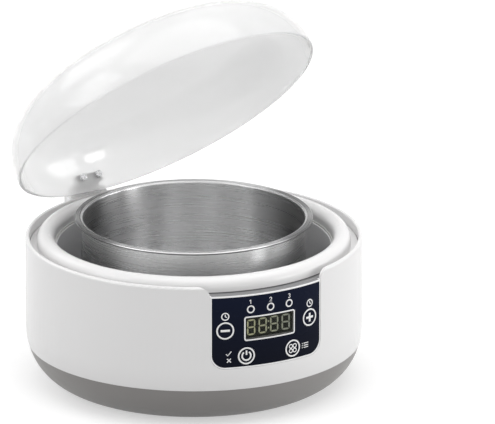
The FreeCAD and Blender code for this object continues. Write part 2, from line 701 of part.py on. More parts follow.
def make_bracket():
    """The hinge bracket on the wall: a block with two ears that hold the pin."""
    far = HINGE_Y + EAR_RADIUS
    half = EAR_X + EAR_THICK
    near = SHELL_INNER
    body = block(-half, half, near, far, BRACKET_FOOT_Z, BRACKET_TOP_Z)
    ears = []
    for low in (-half, EAR_X):
        ears.append(block(low, low + EAR_THICK, near, far, BRACKET_TOP_Z, HINGE_Z))
        ears.append(Part.makeCylinder(EAR_RADIUS, EAR_THICK, V(low, HINGE_Y, HINGE_Z), V(1, 0, 0)))
    bracket = joined(body, ears)
    toe = BODY_RADIUS + BRACKET_TOE
    under = [(toe, BRACKET_FOOT_Z), (far, BRACKET_TOP_Z - BRACKET_FACE), (far + WALL, BRACKET_FOOT_Z - WALL)]
    corners = [V(-half, y, z) for y, z in under]
    slope = Part.Face(Part.makePolygon(corners + corners[:1])).extrude(V(2 * half, 0, 0))
    cuts = [disc(BODY_RADIUS + BRACKET_BED, 0, LIP_Z + EAR_RADIUS), slope]
    cuts.append(Part.makeCylinder(PIN_RADIUS + PIN_SEAT_GAP, 2 * half,
                                  V(-half, HINGE_Y, HINGE_Z), V(1, 0, 0)))
    for x, z in hinge_screw_sites():
        cuts.append(rod_y(SHANK + SHANK_BITE, x, z, near, far - SHANK))
    return bracket.cut(cuts)


def make_hinge_screws():
    """The two screws from inside the wall into the bracket."""
    screws = []
    for x, z in hinge_screw_sites():
        edge = abs(x) + HEAD_RADIUS
        seat = math.sqrt(SHELL_INNER ** 2 - edge ** 2) - PAD_BED
        screws.append(screw((x, seat, z), (0, 1, 0), HINGE_Y - seat))
    return Part.makeCompound(screws)


def make_pin():
    """The steel pin through both ears and the knuckle."""
    half = EAR_X + EAR_THICK
    return Part.makeCylinder(PIN_RADIUS, 2 * half, V(-half, HINGE_Y, HINGE_Z), V(1, 0, 0))


def board_screw_sites():
    """Where four screws hold the control board, as (x, z)."""
    x = BOARD_HALF_WIDTH - BOARD_SCREW_INSET
    low = BOARD_FOOT_Z + BOARD_SCREW_INSET
    high = BOARD_TOP_Z - BOARD_SCREW_INSET
    return [(-x, low), (x, low), (-x, high), (x, high)]


def window_block(gap, near):
    """The display window's upright outline with a gap around it, from the front to a Y value."""
    half = WINDOW_WIDTH / 2 + gap
    tall = WINDOW_HEIGHT / 2 + gap
    return block(-half, half, -(BODY_RADIUS + WALL), near, WINDOW_Z - tall, WINDOW_Z + tall)


def make_frame():
    """The panel's frame: a border flush with the wall, a bed for the overlay and a flange behind."""
    ring = tube(FRAME_BACK, FRAME_FACE, 0, LIP_Z)
    front = panel_prism(PANEL_GAP, GROOVE_Z).common(ring)
    inner_top = SHELL_INNER - DECK_EDGE_GAP + PANEL_GAP
    slope = (GROOVE_Z - PANEL_TOP_Z) / (FRAME_FACE - inner_top)
    far = BODY_RADIUS + WALL
    high = LIP_Z
    wedge = revolved(outline([
        (inner_top, GROOVE_Z), (far, GROOVE_Z - slope * (far - inner_top)), (far, high), (inner_top, high)]))
    under_deck = tube(0.1, inner_top, LEDGE_Z - PANEL_GAP, high)
    front = front.cut([wedge, under_deck])
    flange_ring = tube(FRAME_BACK, FLANGE_FACE, 0, LIP_Z)
    flange_top = LEDGE_Z - LEDGE_HEIGHT - PANEL_GAP
    flange = panel_prism(PANEL_GAP, flange_top, FRAME_FLANGE_SIDE).common(flange_ring)
    studs = []
    for x, z in board_screw_sites():
        studs.append(rod_y(STUD_RADIUS, x, z, depth_at(FLANGE_FACE, x) + STUD_RADIUS / 2, BOARD_FACE_Y))
    frame = joined(front, [flange] + studs)
    bed = panel_prism(PANEL_GAP + PANEL_BORDER, PANEL_TOP_Z - PANEL_BORDER)
    cuts = [bed.common(tube(OVERLAY_BACK - OVERLAY_BED, far, 0, LIP_Z))]
    for x, z in KEYS.values():
        cuts.append(rod_y(KEY_RADIUS + KEY_GAP, x, z, -far, BOARD_FACE_Y))
    for x in LEDS.values():
        cuts.append(rod_y(LED_RADIUS + LED_GAP, x, LED_Z, -far, BOARD_FACE_Y))
    cuts.append(window_block(WINDOW_GAP, BOARD_FACE_Y))
    for x, z in board_screw_sites():
        cuts.append(rod_y(SHANK + SHANK_BITE, x, z, depth_at(FLANGE_FACE, x) + SHANK, BOARD_FACE_Y))
    return frame.cut(cuts)


def make_overlay():
    """The dark front sheet with its holes."""
    sheet = panel_prism(PANEL_GAP + PANEL_BORDER + WINDOW_GAP, PANEL_TOP_Z - PANEL_BORDER - WINDOW_GAP)
    sheet = sheet.common(tube(OVERLAY_BACK, OVERLAY_FACE, 0, LIP_Z))
    far = -(BODY_RADIUS + WALL)
    cuts = [window_block(WINDOW_GAP, 0)]
    for x, z in KEYS.values():
        cuts.append(rod_y(KEY_RADIUS + KEY_GAP, x, z, far, 0))
    for x in LEDS.values():
        cuts.append(rod_y(LED_RADIUS + LED_GAP, x, LED_Z, far, 0))
    return sheet.cut(cuts)


def make_key(x, z):
    """A round key cap whose face follows the panel, with a stem towards its switch."""
    back = depth_at(FRAME_BACK, abs(x))
    cap = rod_y(KEY_RADIUS, x, z, -(BODY_RADIUS + WALL), back)
    cap = cap.common(disc(OVERLAY_FACE, 0, LIP_Z))
    stem = rod_y(KEY_STEM_RADIUS, x, z, back - KEY_STEM_RADIUS, STEM_END_Y)
    return joined(cap, [stem])


def make_window():
    """The clear display window, flush with the overlay."""
    ring = tube(WINDOW_BACK, OVERLAY_FACE, 0, LIP_Z)
    return window_block(0.0, 0).common(ring)


def make_module():
    """The display behind the window, on the control board."""
    half = WINDOW_WIDTH / 2 - MODULE_MARGIN
    tall = WINDOW_HEIGHT / 2 - MODULE_MARGIN
    front = depth_at(WINDOW_BACK, half) + MODULE_GAP
    return block(-half, half, front, BOARD_FACE_Y, WINDOW_Z - tall, WINDOW_Z + tall)


def make_led(x):
    """An indicator lamp on the control board whose tip ends in the overlay."""
    tip = disc(OVERLAY_FACE - LED_SET_BACK, 0, LIP_Z)
    lamp = rod_y(LED_RADIUS, x, LED_Z, -BODY_RADIUS, BOARD_FACE_Y).common(tip)
    collar = rod_y(LED_RADIUS + LED_FLANGE, x, LED_Z, BOARD_FACE_Y - 2 * LED_FLANGE, BOARD_FACE_Y)
    return joined(lamp, [collar])


def make_control_board():
    """The printed board behind the panel."""
    board = block(-BOARD_HALF_WIDTH, BOARD_HALF_WIDTH, BOARD_FACE_Y, BOARD_BACK_Y, BOARD_FOOT_Z, BOARD_TOP_Z)
    holes = []
    for x, z in board_screw_sites():
        holes.append(rod_y(SHANK + SHANK_PASS, x, z, BOARD_FACE_Y, BOARD_BACK_Y))
    return board.cut(holes)


def make_switches():
    """The four switches under the keys."""
    half = SWITCH_SIDE / 2
    bodies = []
    for x, z in KEYS.values():
        bodies.append(block(x - half, x + half, SWITCH_FACE_Y, BOARD_FACE_Y, z - half, z + half))
    return Part.makeCompound(bodies)


def make_board_screws():
    """The screws through the control board into the frame."""
    screws = []
    for x, z in board_screw_sites():
        length = BOARD_BACK_Y - depth_at(FLANGE_FACE, x) - 2 * SHANK
        screws.append(screw((x, BOARD_BACK_Y, z), (0, -1, 0), length))
    return Part.makeCompound(screws)


def make_heat_plate():
    """The heat spreader bonded under the well, with two posts for the clamp."""
    plate = disc(HEAT_PLATE_RADIUS, HEAT_PLATE_Z, PAN_UNDER_Z)
    posts = []
    cuts = [disc(SENSOR_RADIUS + SENSOR_GAP, HEAT_PLATE_Z, PAN_UNDER_Z)]
    for x in (-POST_OFFSET, POST_OFFSET):
        posts.append(disc(POST_RADIUS, HEATER_Z, HEAT_PLATE_Z + HEAT_PLATE_THICK / 2, x))
        cuts.append(disc(SHANK + SHANK_BITE, HEATER_Z, HEAT_PLATE_Z, x))
    return joined(plate, posts).cut(cuts)


def make_heater(side):
    """One ceramic heater block under the spreader, on the given side."""
    x = side * HEATER_OFFSET
    half = HEATER_WIDTH / 2
    return block(x - HEATER_LENGTH / 2, x + HEATER_LENGTH / 2, -half, half, HEATER_Z, HEAT_PLATE_Z)


def make_clamp():
    """The spring strip that presses both heaters to the spreader."""
    reach = POST_OFFSET + CLAMP_END
    half = CLAMP_WIDTH / 2
    strip = block(-reach, reach, -half, half, CLAMP_Z, HEATER_Z)
    cuts = [disc(SENSOR_RADIUS + SENSOR_GAP, CLAMP_Z, HEATER_Z)]
    for x in (-POST_OFFSET, POST_OFFSET):
        cuts.append(disc(SHANK + SHANK_PASS, CLAMP_Z, HEATER_Z, x))
    return strip.cut(cuts)


def make_clamp_screws():
    """The two screws that hold the clamp to the posts."""
    length = CLAMP_THICK + HEATER_THICK - SHANK
    return Part.makeCompound([screw((x, 0, CLAMP_Z), (0, 0, 1), length) for x in (-POST_OFFSET, POST_OFFSET)])


def make_sensor():
    """The temperature sensor through clamp and spreader, against the well."""
    stem = disc(SENSOR_RADIUS, CLAMP_Z, PAN_UNDER_Z)
    flange = disc(SENSOR_RADIUS + SENSOR_FLANGE, CLAMP_Z - SENSOR_FLANGE_THICK, CLAMP_Z)
    return joined(stem, [flange])


def make_fuse():
    """The thermal fuse along X under the spreader."""
    z = HEAT_PLATE_Z - FUSE_RADIUS - FUSE_BED
    return Part.makeCylinder(FUSE_RADIUS, FUSE_LENGTH, V(-FUSE_LENGTH / 2, FUSE_OFFSET, z), V(1, 0, 0))


def power_screw_sites():
    """Where four screws hold the power board on its posts, as (x, y)."""
    x = POWER_HALF_X - POWER_SCREW_INSET
    y = POWER_HALF_Y - POWER_SCREW_INSET
    return [(-x, POWER_Y - y), (x, POWER_Y - y), (-x, POWER_Y + y), (x, POWER_Y + y)]


def on_power_board(size, at):
    """A block that stands on the power board, placed from the board's middle."""
    x, y = at[0], POWER_Y + at[1]
    return block(x - size[0] / 2, x + size[0] / 2, y - size[1] / 2, y + size[1] / 2,
                 POWER_TOP_Z, POWER_TOP_Z + size[2])


def make_power_board():
    """The power board on the posts of the base."""
    board = block(-POWER_HALF_X, POWER_HALF_X, POWER_Y - POWER_HALF_Y, POWER_Y + POWER_HALF_Y,
                  POWER_Z, POWER_TOP_Z)
    return board.cut([disc(SHANK + SHANK_PASS, POWER_Z, POWER_TOP_Z, x, y) for x, y in power_screw_sites()])


def make_power_screws():
    """The screws through the power board into its posts."""
    length = BOARD_THICK + POWER_LIFT - SHANK
    return Part.makeCompound([screw((x, y, POWER_TOP_Z), (0, 0, -1), length) for x, y in power_screw_sites()])


def make_headers():
    """The two plug headers at the front of the power board."""
    sites = (PANEL_HEADER_X, SENSOR_HEADER_X)
    return Part.makeCompound([on_power_board(HEADER_SIZE, (x, HEADER_Y)) for x in sites])


def make_inlet():
    """The cord inlet through the wall: a socket with a flange behind the wall."""
    w = INLET_HALF_WIDTH - INLET_GAP
    h = INLET_HALF_HEIGHT - INLET_GAP
    far = BODY_RADIUS + WALL
    flange_y = math.sqrt(SHELL_INNER ** 2 - (w + INLET_FLANGE) ** 2) - INLET_GAP
    body = block(-w, w, INLET_BACK_Y, far, INLET_Z - h, INLET_Z + h).common(disc(INLET_FACE, 0, LIP_Z))
    flange = block(-w - INLET_FLANGE, w + INLET_FLANGE, flange_y - INLET_FLANGE, flange_y,
                   INLET_Z - h - INLET_FLANGE, INLET_Z + h + INLET_FLANGE)
    t = INLET_FRONT_WALL
    bottom = INLET_FACE - SOCKET_DEPTH
    socket = block(t - w, w - t, bottom, far, INLET_Z - h + t, INLET_Z + h - t)
    cuts = [socket]
    for x in (-INLET_PIN_SPACING / 2, INLET_PIN_SPACING / 2):
        cuts.append(rod_y(INLET_PIN_RADIUS + SHANK_BITE, x, INLET_Z, INLET_BACK_Y, bottom))
    return joined(body, [flange]).cut(cuts)


def make_inlet_pins():
    """The two contact pins through the socket's floor, with tabs for the leads behind it."""
    tip = INLET_FACE - SOCKET_DEPTH + INLET_PIN_LENGTH
    sites = (-INLET_PIN_SPACING / 2, INLET_PIN_SPACING / 2)
    return Part.makeCompound([rod_y(INLET_PIN_RADIUS, x, INLET_Z, INLET_BACK_Y - INLET_TAB, tip) for x in sites])


def make_heater_leads():
    """The two leads from the heaters to the top of the terminal block."""
    top = POWER_TOP_Z + TERMINAL_SIZE[2]
    y = POWER_Y + TERMINAL_AT[1]
    start_z = (HEATER_Z + HEAT_PLATE_Z) / 2
    leads = []
    for side, shift in ((-1, -5.0), (1, 5.0)):
        x = side * HEATER_OFFSET
        end = TERMINAL_AT[0] + shift
        mid_z = start_z - LEAD_RADIUS
        leads.append(lead([
            (x, HEATER_WIDTH / 2, start_z), (x, HEATER_WIDTH, start_z), (end, y - 9.0, mid_z),
            (end, y, mid_z - LEAD_RADIUS), (end, y, top)], LEAD_RADIUS))
    return Part.makeCompound(leads)


def make_inlet_leads():
    """The two leads from the inlet's tabs down to the back of the terminal block."""
    y = POWER_Y + TERMINAL_AT[1] + TERMINAL_SIZE[1] / 2
    z = POWER_TOP_Z + TERMINAL_SIZE[2] / 2
    tab_y = INLET_BACK_Y - INLET_TAB / 2
    leads = []
    for side in (-1, 1):
        x = side * INLET_PIN_SPACING / 2
        end = TERMINAL_AT[0] + side * 5.0
        leads.append(lead([
            (x, tab_y, INLET_Z - INLET_PIN_RADIUS), (x, tab_y, z + 6.0), (end, y + 12.0, z), (end, y, z)],
            LEAD_RADIUS))
    return Part.makeCompound(leads)


def make_sensor_lead():
    """The lead from the sensor to its header."""
    start = CLAMP_Z - SENSOR_FLANGE_THICK
    y = POWER_Y + HEADER_Y - HEADER_SIZE[1] / 2
    z = POWER_TOP_Z + HEADER_SIZE[2] / 2
    return lead([(0, 0, start), (0, 0, z), (SENSOR_HEADER_X, y, z)], LEAD_RADIUS)


def make_panel_cable():
    """The cable from the foot of the control board, under the well, to its header."""
    y = POWER_Y + HEADER_Y - HEADER_SIZE[1] / 2
    z = POWER_TOP_Z + HEADER_SIZE[2] / 2
    x = PANEL_HEADER_X
    board_y = (BOARD_FACE_Y + BOARD_BACK_Y) / 2
    return lead([(x, board_y, BOARD_FOOT_Z), (x, board_y, z + 12.0), (x, board_y + 16.0, z), (x, y, z)],
                CABLE_RADIUS)


def make_base_screws():
    """The four screws from below through the towers into the bosses of the wall."""
    screws = []
    for angle in CORNER_ANGLES:
        x, y = polar(BOSS_CIRCLE, angle)
        screws.append(screw((x, y, SPLIT_Z - TOWER_SEAT), (0, 0, 1), TOWER_SEAT + BASE_SCREW_BITE,
                            BASE_SHANK, BASE_HEAD_RADIUS, BASE_HEAD_HEIGHT))
    return Part.makeCompound(screws)


def make_pan_screws():
    """The four screws from below through the well's flange into the deck."""
    screws = []
    for angle in CORNER_ANGLES:
        x, y = polar(CREST_RADIUS, angle)
        length = MOUTH_DROP - MOUTH_ROUND + GASKET_THICK
        screws.append(screw((x, y, FLANGE_Z - PAN_SHEET), (0, 0, 1), length))
    return Part.makeCompound(screws)


parts = {
    "outer_shell": make_shell(),
    "base_cover": make_base(),
    "deck_ring": make_deck(),
    "well_pan": make_pan(),
    "pan_gasket": tube(PAN_RADIUS + GASKET_INSET, PAN_RADIUS + GASKET_INSET + GASKET_WIDTH, FLANGE_Z, MOUTH_Z),
    "pan_screws": make_pan_screws(),
    "inner_bowl": make_bowl(),
    "lid_dome": opened(make_lid()),
    "lid_arm": opened(make_lid_arm()),
    "lid_arm_screws": opened(make_lid_screws()),
    "hinge_bracket": turned_to_hinge(make_bracket()),
    "hinge_screws": turned_to_hinge(make_hinge_screws()),
    "hinge_pin": turned_to_hinge(make_pin()),
    "panel_frame": make_frame(),
    "panel_overlay": make_overlay(),
    "display_window": make_window(),
    "display_module": make_module(),
    "control_board": make_control_board(),
    "key_switches": make_switches(),
    "board_screws": make_board_screws(),
    "heater_plate": make_heat_plate(),
    "heater_left": make_heater(-1),
    "heater_right": make_heater(1),
    "heater_clamp": make_clamp(),
    "clamp_screws": make_clamp_screws(),
    "temperature_sensor": make_sensor(),
    "thermal_fuse": make_fuse(),
    "power_board": make_power_board(),
    "power_board_screws": make_power_screws(),
    "terminal_block": on_power_board(TERMINAL_SIZE, TERMINAL_AT),
    "relay": on_power_board(RELAY_SIZE, RELAY_AT),
    "transformer": on_power_board(TRANSFORMER_SIZE, TRANSFORMER_AT),
    "filter_capacitor": disc(CAPACITOR_RADIUS, POWER_TOP_Z, POWER_TOP_Z + CAPACITOR_HEIGHT,
                             CAPACITOR_AT[0], POWER_Y + CAPACITOR_AT[1]),
    "board_headers": make_headers(),
    "cord_inlet": make_inlet(),
    "inlet_pins": make_inlet_pins(),
    "heater_leads": make_heater_leads(),
    "inlet_leads": make_inlet_leads(),
    "sensor_lead": make_sensor_lead(),
    "panel_cable": make_panel_cable(),
    "base_screws": make_base_screws(),
    "foot_ring": foot_ring(0.0, 0.0, FOOT_REACH + FOOT_RECESS),
}
for name, site in KEYS.items():
    parts[name] = make_key(*site)
for name, x in LEDS.items():
    parts[name] = make_led(x)

os.makedirs("parts", exist_ok=True)
for name, shape in parts.items():
    shape.exportStep("parts/" + name + ".step")
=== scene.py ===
import json
import math

import bmesh
import bpy
from mathutils import Matrix, Vector


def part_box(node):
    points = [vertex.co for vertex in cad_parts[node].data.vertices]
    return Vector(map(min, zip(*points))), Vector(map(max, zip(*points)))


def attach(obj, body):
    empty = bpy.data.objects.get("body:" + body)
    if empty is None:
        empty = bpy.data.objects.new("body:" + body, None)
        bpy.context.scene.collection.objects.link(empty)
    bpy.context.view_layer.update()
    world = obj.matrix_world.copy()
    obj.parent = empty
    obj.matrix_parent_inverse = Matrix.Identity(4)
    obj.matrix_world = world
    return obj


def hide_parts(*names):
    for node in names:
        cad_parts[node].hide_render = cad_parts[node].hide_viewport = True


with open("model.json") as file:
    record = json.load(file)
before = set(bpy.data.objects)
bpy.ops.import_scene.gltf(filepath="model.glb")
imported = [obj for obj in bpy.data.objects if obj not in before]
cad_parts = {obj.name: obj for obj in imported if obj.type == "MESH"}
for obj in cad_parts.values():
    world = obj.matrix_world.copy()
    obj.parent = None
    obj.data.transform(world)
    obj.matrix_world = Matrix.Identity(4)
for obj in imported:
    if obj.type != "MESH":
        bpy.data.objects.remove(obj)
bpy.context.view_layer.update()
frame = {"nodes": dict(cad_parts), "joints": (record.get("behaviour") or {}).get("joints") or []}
nodes = frame["nodes"]


# Foot ring
# A soft rubber ring pressed into a groove under the base, so that the machine stands still.
# Matt, nearly black, with the dull sheen and fine grain of moulded rubber.

MM = 0.001


def shader_group(name, inputs, outputs):
    """An empty shader node group with named inputs and outputs, and its two end nodes."""
    tree = bpy.data.node_groups.new(name, "ShaderNodeTree")
    for label, value in inputs:
        socket = tree.interface.new_socket(label, in_out="INPUT", socket_type="NodeSocketFloat")
        socket.default_value = value
    for label in outputs:
        tree.interface.new_socket(label, in_out="OUTPUT", socket_type="NodeSocketFloat")
    return tree, tree.nodes.new("NodeGroupInput"), tree.nodes.new("NodeGroupOutput")


def feed(tree, socket, value):
    """Gives a socket a fixed value, or links it to another socket."""
    if isinstance(value, bpy.types.NodeSocket):
        tree.links.new(value, socket)
    else:
        socket.default_value = value


def object_place(tree):
    """Where a point lies on its piece, in metres."""
    return tree.nodes.new("ShaderNodeTexCoord").outputs["Object"]


def noise(tree, place, scale, detail=2.0):
    """A noise texture in a node tree; scale is a number or a socket."""
    node = tree.nodes.new("ShaderNodeTexNoise")
    node.inputs["Detail"].default_value = detail
    tree.links.new(place, node.inputs["Vector"])
    feed(tree, node.inputs["Scale"], scale)
    return node.outputs["Fac"]


GRAIN_SCALE = 2600.0
FLOW_SCALE = 26.0
GRAIN_DEPTH = 0.04 * MM


def moulded_grain_group():
    """Fine grain left by the mould, and slow shade changes where the plastic flowed."""
    sizes = [("Grain Scale", GRAIN_SCALE), ("Flow Scale", FLOW_SCALE)]
    tree, start, end = shader_group("moulded_grain", sizes, ["Grain", "Flow"])
    place = object_place(tree)
    tree.links.new(noise(tree, place, start.outputs["Grain Scale"]), end.inputs["Grain"])
    tree.links.new(noise(tree, place, start.outputs["Flow Scale"], 0.5), end.inputs["Flow"])
    return tree


moulded_grain = moulded_grain_group()


def principled(name):
    """A new node material, its tree and its Principled shader."""
    material = bpy.data.materials.new(name)
    material.use_nodes = True
    return material, material.node_tree, material.node_tree.nodes["Principled BSDF"]


def blend_colours(tree, factor, low, high):
    """A colour that runs from low to high as a factor goes from 0 to 1."""
    mix = tree.nodes.new("ShaderNodeMix")
    mix.data_type = "RGBA"
    mix.inputs["A"].default_value = (*low, 1)
    mix.inputs["B"].default_value = (*high, 1)
    tree.links.new(factor, mix.inputs["Factor"])
    return mix.outputs["Result"]


def spread(tree, factor, low, high, start=0.3, end=0.7):
    """A value that runs from low to high, numbers or sockets, as a factor goes from start to end."""
    span = tree.nodes.new("ShaderNodeMapRange")
    for label, value in (("From Min", start), ("From Max", end), ("To Min", low), ("To Max", high)):
        feed(tree, span.inputs[label], value)
    tree.links.new(factor, span.inputs["Value"])
    return span.outputs["Result"]


def bumped(tree, shader, height, strength, distance):
    """Gives a shader a bump from a height."""
    bump = tree.nodes.new("ShaderNodeBump")
    bump.inputs["Strength"].default_value = strength
    bump.inputs["Distance"].default_value = distance
    tree.links.new(height, bump.inputs["Height"])
    tree.links.new(bump.outputs["Normal"], shader.inputs["Normal"])


def moulded(name, low, high, gloss, grain=GRAIN_SCALE, flow=FLOW_SCALE, bump=0.12):
    """A moulded plastic, rubber or resin: two near colours, two roughnesses and a grain."""
    material, tree, shader = principled(name)
    group = tree.nodes.new("ShaderNodeGroup")
    group.node_tree = moulded_grain
    group.inputs["Grain Scale"].default_value = grain
    group.inputs["Flow Scale"].default_value = flow
    tree.links.new(blend_colours(tree, spread(tree, group.outputs["Flow"], 0, 1), low, high),
                   shader.inputs["Base Color"])
    tree.links.new(spread(tree, group.outputs["Flow"], *gloss), shader.inputs["Roughness"])
    bumped(tree, shader, group.outputs["Grain"], bump, GRAIN_DEPTH)
    return material


def dress(material, *names):
    """Gives CAD nodes a finished material."""
    for name in names:
        nodes[name].data.materials.clear()
        nodes[name].data.materials.append(material)


dark_rubber = moulded("dark_rubber", (0.018, 0.018, 0.019), (0.028, 0.028, 0.029), (0.62, 0.78), bump=0.3)
dress(dark_rubber, "foot_ring")


# Base cover
# The warm grey bottom of the housing, a polypropylene moulding drawn in towards the table.
# It laps inside the white wall and holds the power board; screws come up through its towers.

base_grey = moulded("base_grey", (0.225, 0.216, 0.210), (0.250, 0.241, 0.234), (0.36, 0.44), bump=0.16)
dress(base_grey, "base_cover")


# Screws
# Steel pan-head screws with a cross recess. They hold the base, the lid's arm, the hinge,
# the well, the boards and the heater clamp. Those of the base are seen from below.

def geometry_tree(name, sizes):
    """An empty geometry node tree with named size inputs and a material input."""
    tree = bpy.data.node_groups.new(name, "GeometryNodeTree")
    tree.interface.new_socket("Geometry", in_out="INPUT", socket_type="NodeSocketGeometry")
    for label, value in sizes:
        kind = "NodeSocketInt" if isinstance(value, int) else "NodeSocketFloat"
        tree.interface.new_socket(label, in_out="INPUT", socket_type=kind).default_value = value
    tree.interface.new_socket("Material", in_out="INPUT", socket_type="NodeSocketMaterial")
    tree.interface.new_socket("Geometry", in_out="OUTPUT", socket_type="NodeSocketGeometry")
    return tree, tree.nodes.new("NodeGroupInput"), tree.nodes.new("NodeGroupOutput")


def chain(tree, first, *kinds):
    """Nodes in a row, each fed by the one before it; gives them back in order."""
    row = []
    for kind in kinds:
        node = tree.nodes.new(kind)
        tree.links.new(row[-1].outputs[0] if row else first, node.inputs[0])
        row.append(node)
    return row


def end_tree(tree, start, end, geometry):
    """Ends a geometry node tree: instances made real, and the material set."""
    finish = chain(tree, geometry, "GeometryNodeRealizeInstances", "GeometryNodeSetMaterial")[-1]
    tree.links.new(start.outputs["Material"], finish.inputs["Material"])
    tree.links.new(finish.outputs[0], end.inputs[0])
    return tree


def maths(tree, operation, *values):
    """The result of a Math node on numbers or sockets."""
    node = tree.nodes.new("ShaderNodeMath")
    node.operation = operation
    for socket, value in zip(node.inputs, values):
        feed(tree, socket, value)
    return node.outputs[0]


def vector(tree, *values):
    """A vector from three numbers or sockets."""
    node = tree.nodes.new("ShaderNodeCombineXYZ")
    for socket, value in zip(node.inputs, values):
        feed(tree, socket, value)
    return node.outputs[0]


def attribute(tree, name, kind="FLOAT"):
    """The values of a mesh's named attribute."""
    node = tree.nodes.new("GeometryNodeInputNamedAttribute")
    node.data_type = kind
    node.inputs["Name"].default_value = name
    return node.outputs["Attribute"]


def copies(tree, start, piece, rotation, scale):
    """A copy of a piece on every point of the starting mesh."""
    link = tree.links.new
    spots = chain(tree, start.outputs["Geometry"], "GeometryNodeMeshToPoints")[-1]
    placed = tree.nodes.new("GeometryNodeInstanceOnPoints")
    link(spots.outputs[0], placed.inputs["Points"])
    link(piece, placed.inputs["Instance"])
    link(rotation, placed.inputs["Rotation"])
    feed(tree, placed.inputs["Scale"], scale)
    return placed.outputs[0]


def plain_mesh(obj, modifier):
    """Turns an object and its modifier into a plain mesh, and gives that back."""
    bpy.context.view_layer.update()
    made = bpy.data.meshes.new_from_object(obj.evaluated_get(bpy.context.evaluated_depsgraph_get()))
    obj.modifiers.remove(modifier)
    obj.data = made
    made.name = obj.name
    return made


def grown(name, mesh, tree, material, **sizes):
    """The plain mesh piece that a geometry node tree makes from a starting mesh."""
    obj = bpy.data.objects.new(name, mesh)
    bpy.context.scene.collection.objects.link(obj)
    modifier = obj.modifiers.new("Shape", "NODES")
    modifier.node_group = tree
    sockets = {s.name: s.identifier for s in tree.interface.items_tree if s.in_out == "INPUT"}
    modifier[sockets["Material"]] = material
    for label, value in sizes.items():
        modifier[sockets[label.replace("_", " ")]] = value
    made = plain_mesh(obj, modifier)
    made.materials.clear()
    made.materials.append(material)
    for face in made.polygons:
        face.material_index = 0
    return obj


HEAD_SIDES = 40
SHANK_SIDES = 24
RIM_SHARE = 0.55
CROWN_SHARE = 0.72
RECESS_SHARE = 1.1


def cross_head_tree():
    """Pan heads with a cross recess and their shanks on every point, along its 'way'.

    The sizes are in millimetres, and the copies are scaled to metres.
    """
    tree, start, end = geometry_tree("cross_head_screw", [
        ("Head Radius", 2.3), ("Head Height", 1.5), ("Shank Radius", 1.0), ("Shank Length", 8.0),
        ("Slot Width", 0.7)])
    new, link = tree.nodes.new, tree.links.new
    head_radius, head_height, shank_radius, shank_length, slot = start.outputs[1:6]

    def part_of(size, share):
        """A share of a size."""
        return maths(tree, "MULTIPLY", size, share)

    def cylinder(sides, radius, depth):
        """A closed cylinder round the screw's axis."""
        node = new("GeometryNodeMeshCylinder")
        node.inputs["Vertices"].default_value = sides
        link(radius, node.inputs["Radius"])
        link(depth, node.inputs["Depth"])
        return node.outputs["Mesh"]

    def raised(geometry, height):
        """A geometry moved along the screw's axis."""
        node = new("GeometryNodeTransform")
        link(geometry, node.inputs["Geometry"])
        link(vector(tree, 0.0, 0.0, height), node.inputs["Translation"])
        return node.outputs[0]

    crown = new("GeometryNodeMeshCone")
    crown.inputs["Vertices"].default_value = HEAD_SIDES
    crown.inputs["Side Segments"].default_value = 1
    link(part_of(head_radius, CROWN_SHARE), crown.inputs["Radius Top"])
    link(head_radius, crown.inputs["Radius Bottom"])
    link(part_of(head_height, 1 - RIM_SHARE), crown.inputs["Depth"])
    rim = cylinder(HEAD_SIDES, head_radius, part_of(head_height, RIM_SHARE))
    shank = cylinder(SHANK_SIDES, shank_radius, shank_length)
    solid, recess = (new("GeometryNodeMeshBoolean") for i in range(2))
    solid.operation, recess.operation = "UNION", "DIFFERENCE"
    solid.solver = recess.solver = "EXACT"
    for geometry, height in ((rim, part_of(head_height, RIM_SHARE / 2)),
                             (crown.outputs["Mesh"], part_of(head_height, RIM_SHARE)),
                             (shank, part_of(shank_length, -0.5))):
        link(raised(geometry, height), solid.inputs["Mesh 2"])
    link(solid.outputs["Mesh"], recess.inputs["Mesh 1"])
    bar_length = part_of(head_radius, RECESS_SHARE)
    for size in (vector(tree, bar_length, slot, head_height), vector(tree, slot, bar_length, head_height)):
        bar = new("GeometryNodeMeshCube")
        link(size, bar.inputs["Size"])
        link(raised(bar.outputs["Mesh"], head_height), recess.inputs["Mesh 2"])
    aim = new("FunctionNodeAlignRotationToVector")
    aim.axis = "Z"
    link(attribute(tree, "way", "FLOAT_VECTOR"), aim.inputs["Vector"])
    placed = copies(tree, start, recess.outputs["Mesh"], aim.outputs["Rotation"], (MM, MM, MM))
    return end_tree(tree, start, end, placed)


MARK_DEPTH = 0.03 * MM


def metal(name, low, high, gloss, scale=900.0):
    """A bare metal with fine handling marks."""
    material, tree, shader = principled(name)
    shader.inputs["Metallic"].default_value = 1.0
    marks = noise(tree, object_place(tree), scale, 5.0)
    tree.links.new(blend_colours(tree, spread(tree, marks, 0, 1), low, high), shader.inputs["Base Color"])
    tree.links.new(spread(tree, marks, *gloss), shader.inputs["Roughness"])
    bumped(tree, shader, marks, 0.08, MARK_DEPTH)
    return material


bright_steel = metal("bright_steel", (0.60, 0.60, 0.61), (0.74, 0.74, 0.75), (0.18, 0.32))
cross_head = cross_head_tree()


def screws(name, body, node, sites, **sizes):
    """Screws at (seat, direction of the head) sites in metres, in place of a CAD node."""
    mesh = bpy.data.meshes.new(name)
    mesh.from_pydata([seat for seat, way in sites], [], [])
    ways = mesh.attributes.new("way", "FLOAT_VECTOR", "POINT")
    for spot, (seat, way) in zip(ways.data, sites):
        spot.vector = way
    obj = grown(name, mesh, cross_head, bright_steel, **sizes)
    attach(obj, body)
    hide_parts(node)


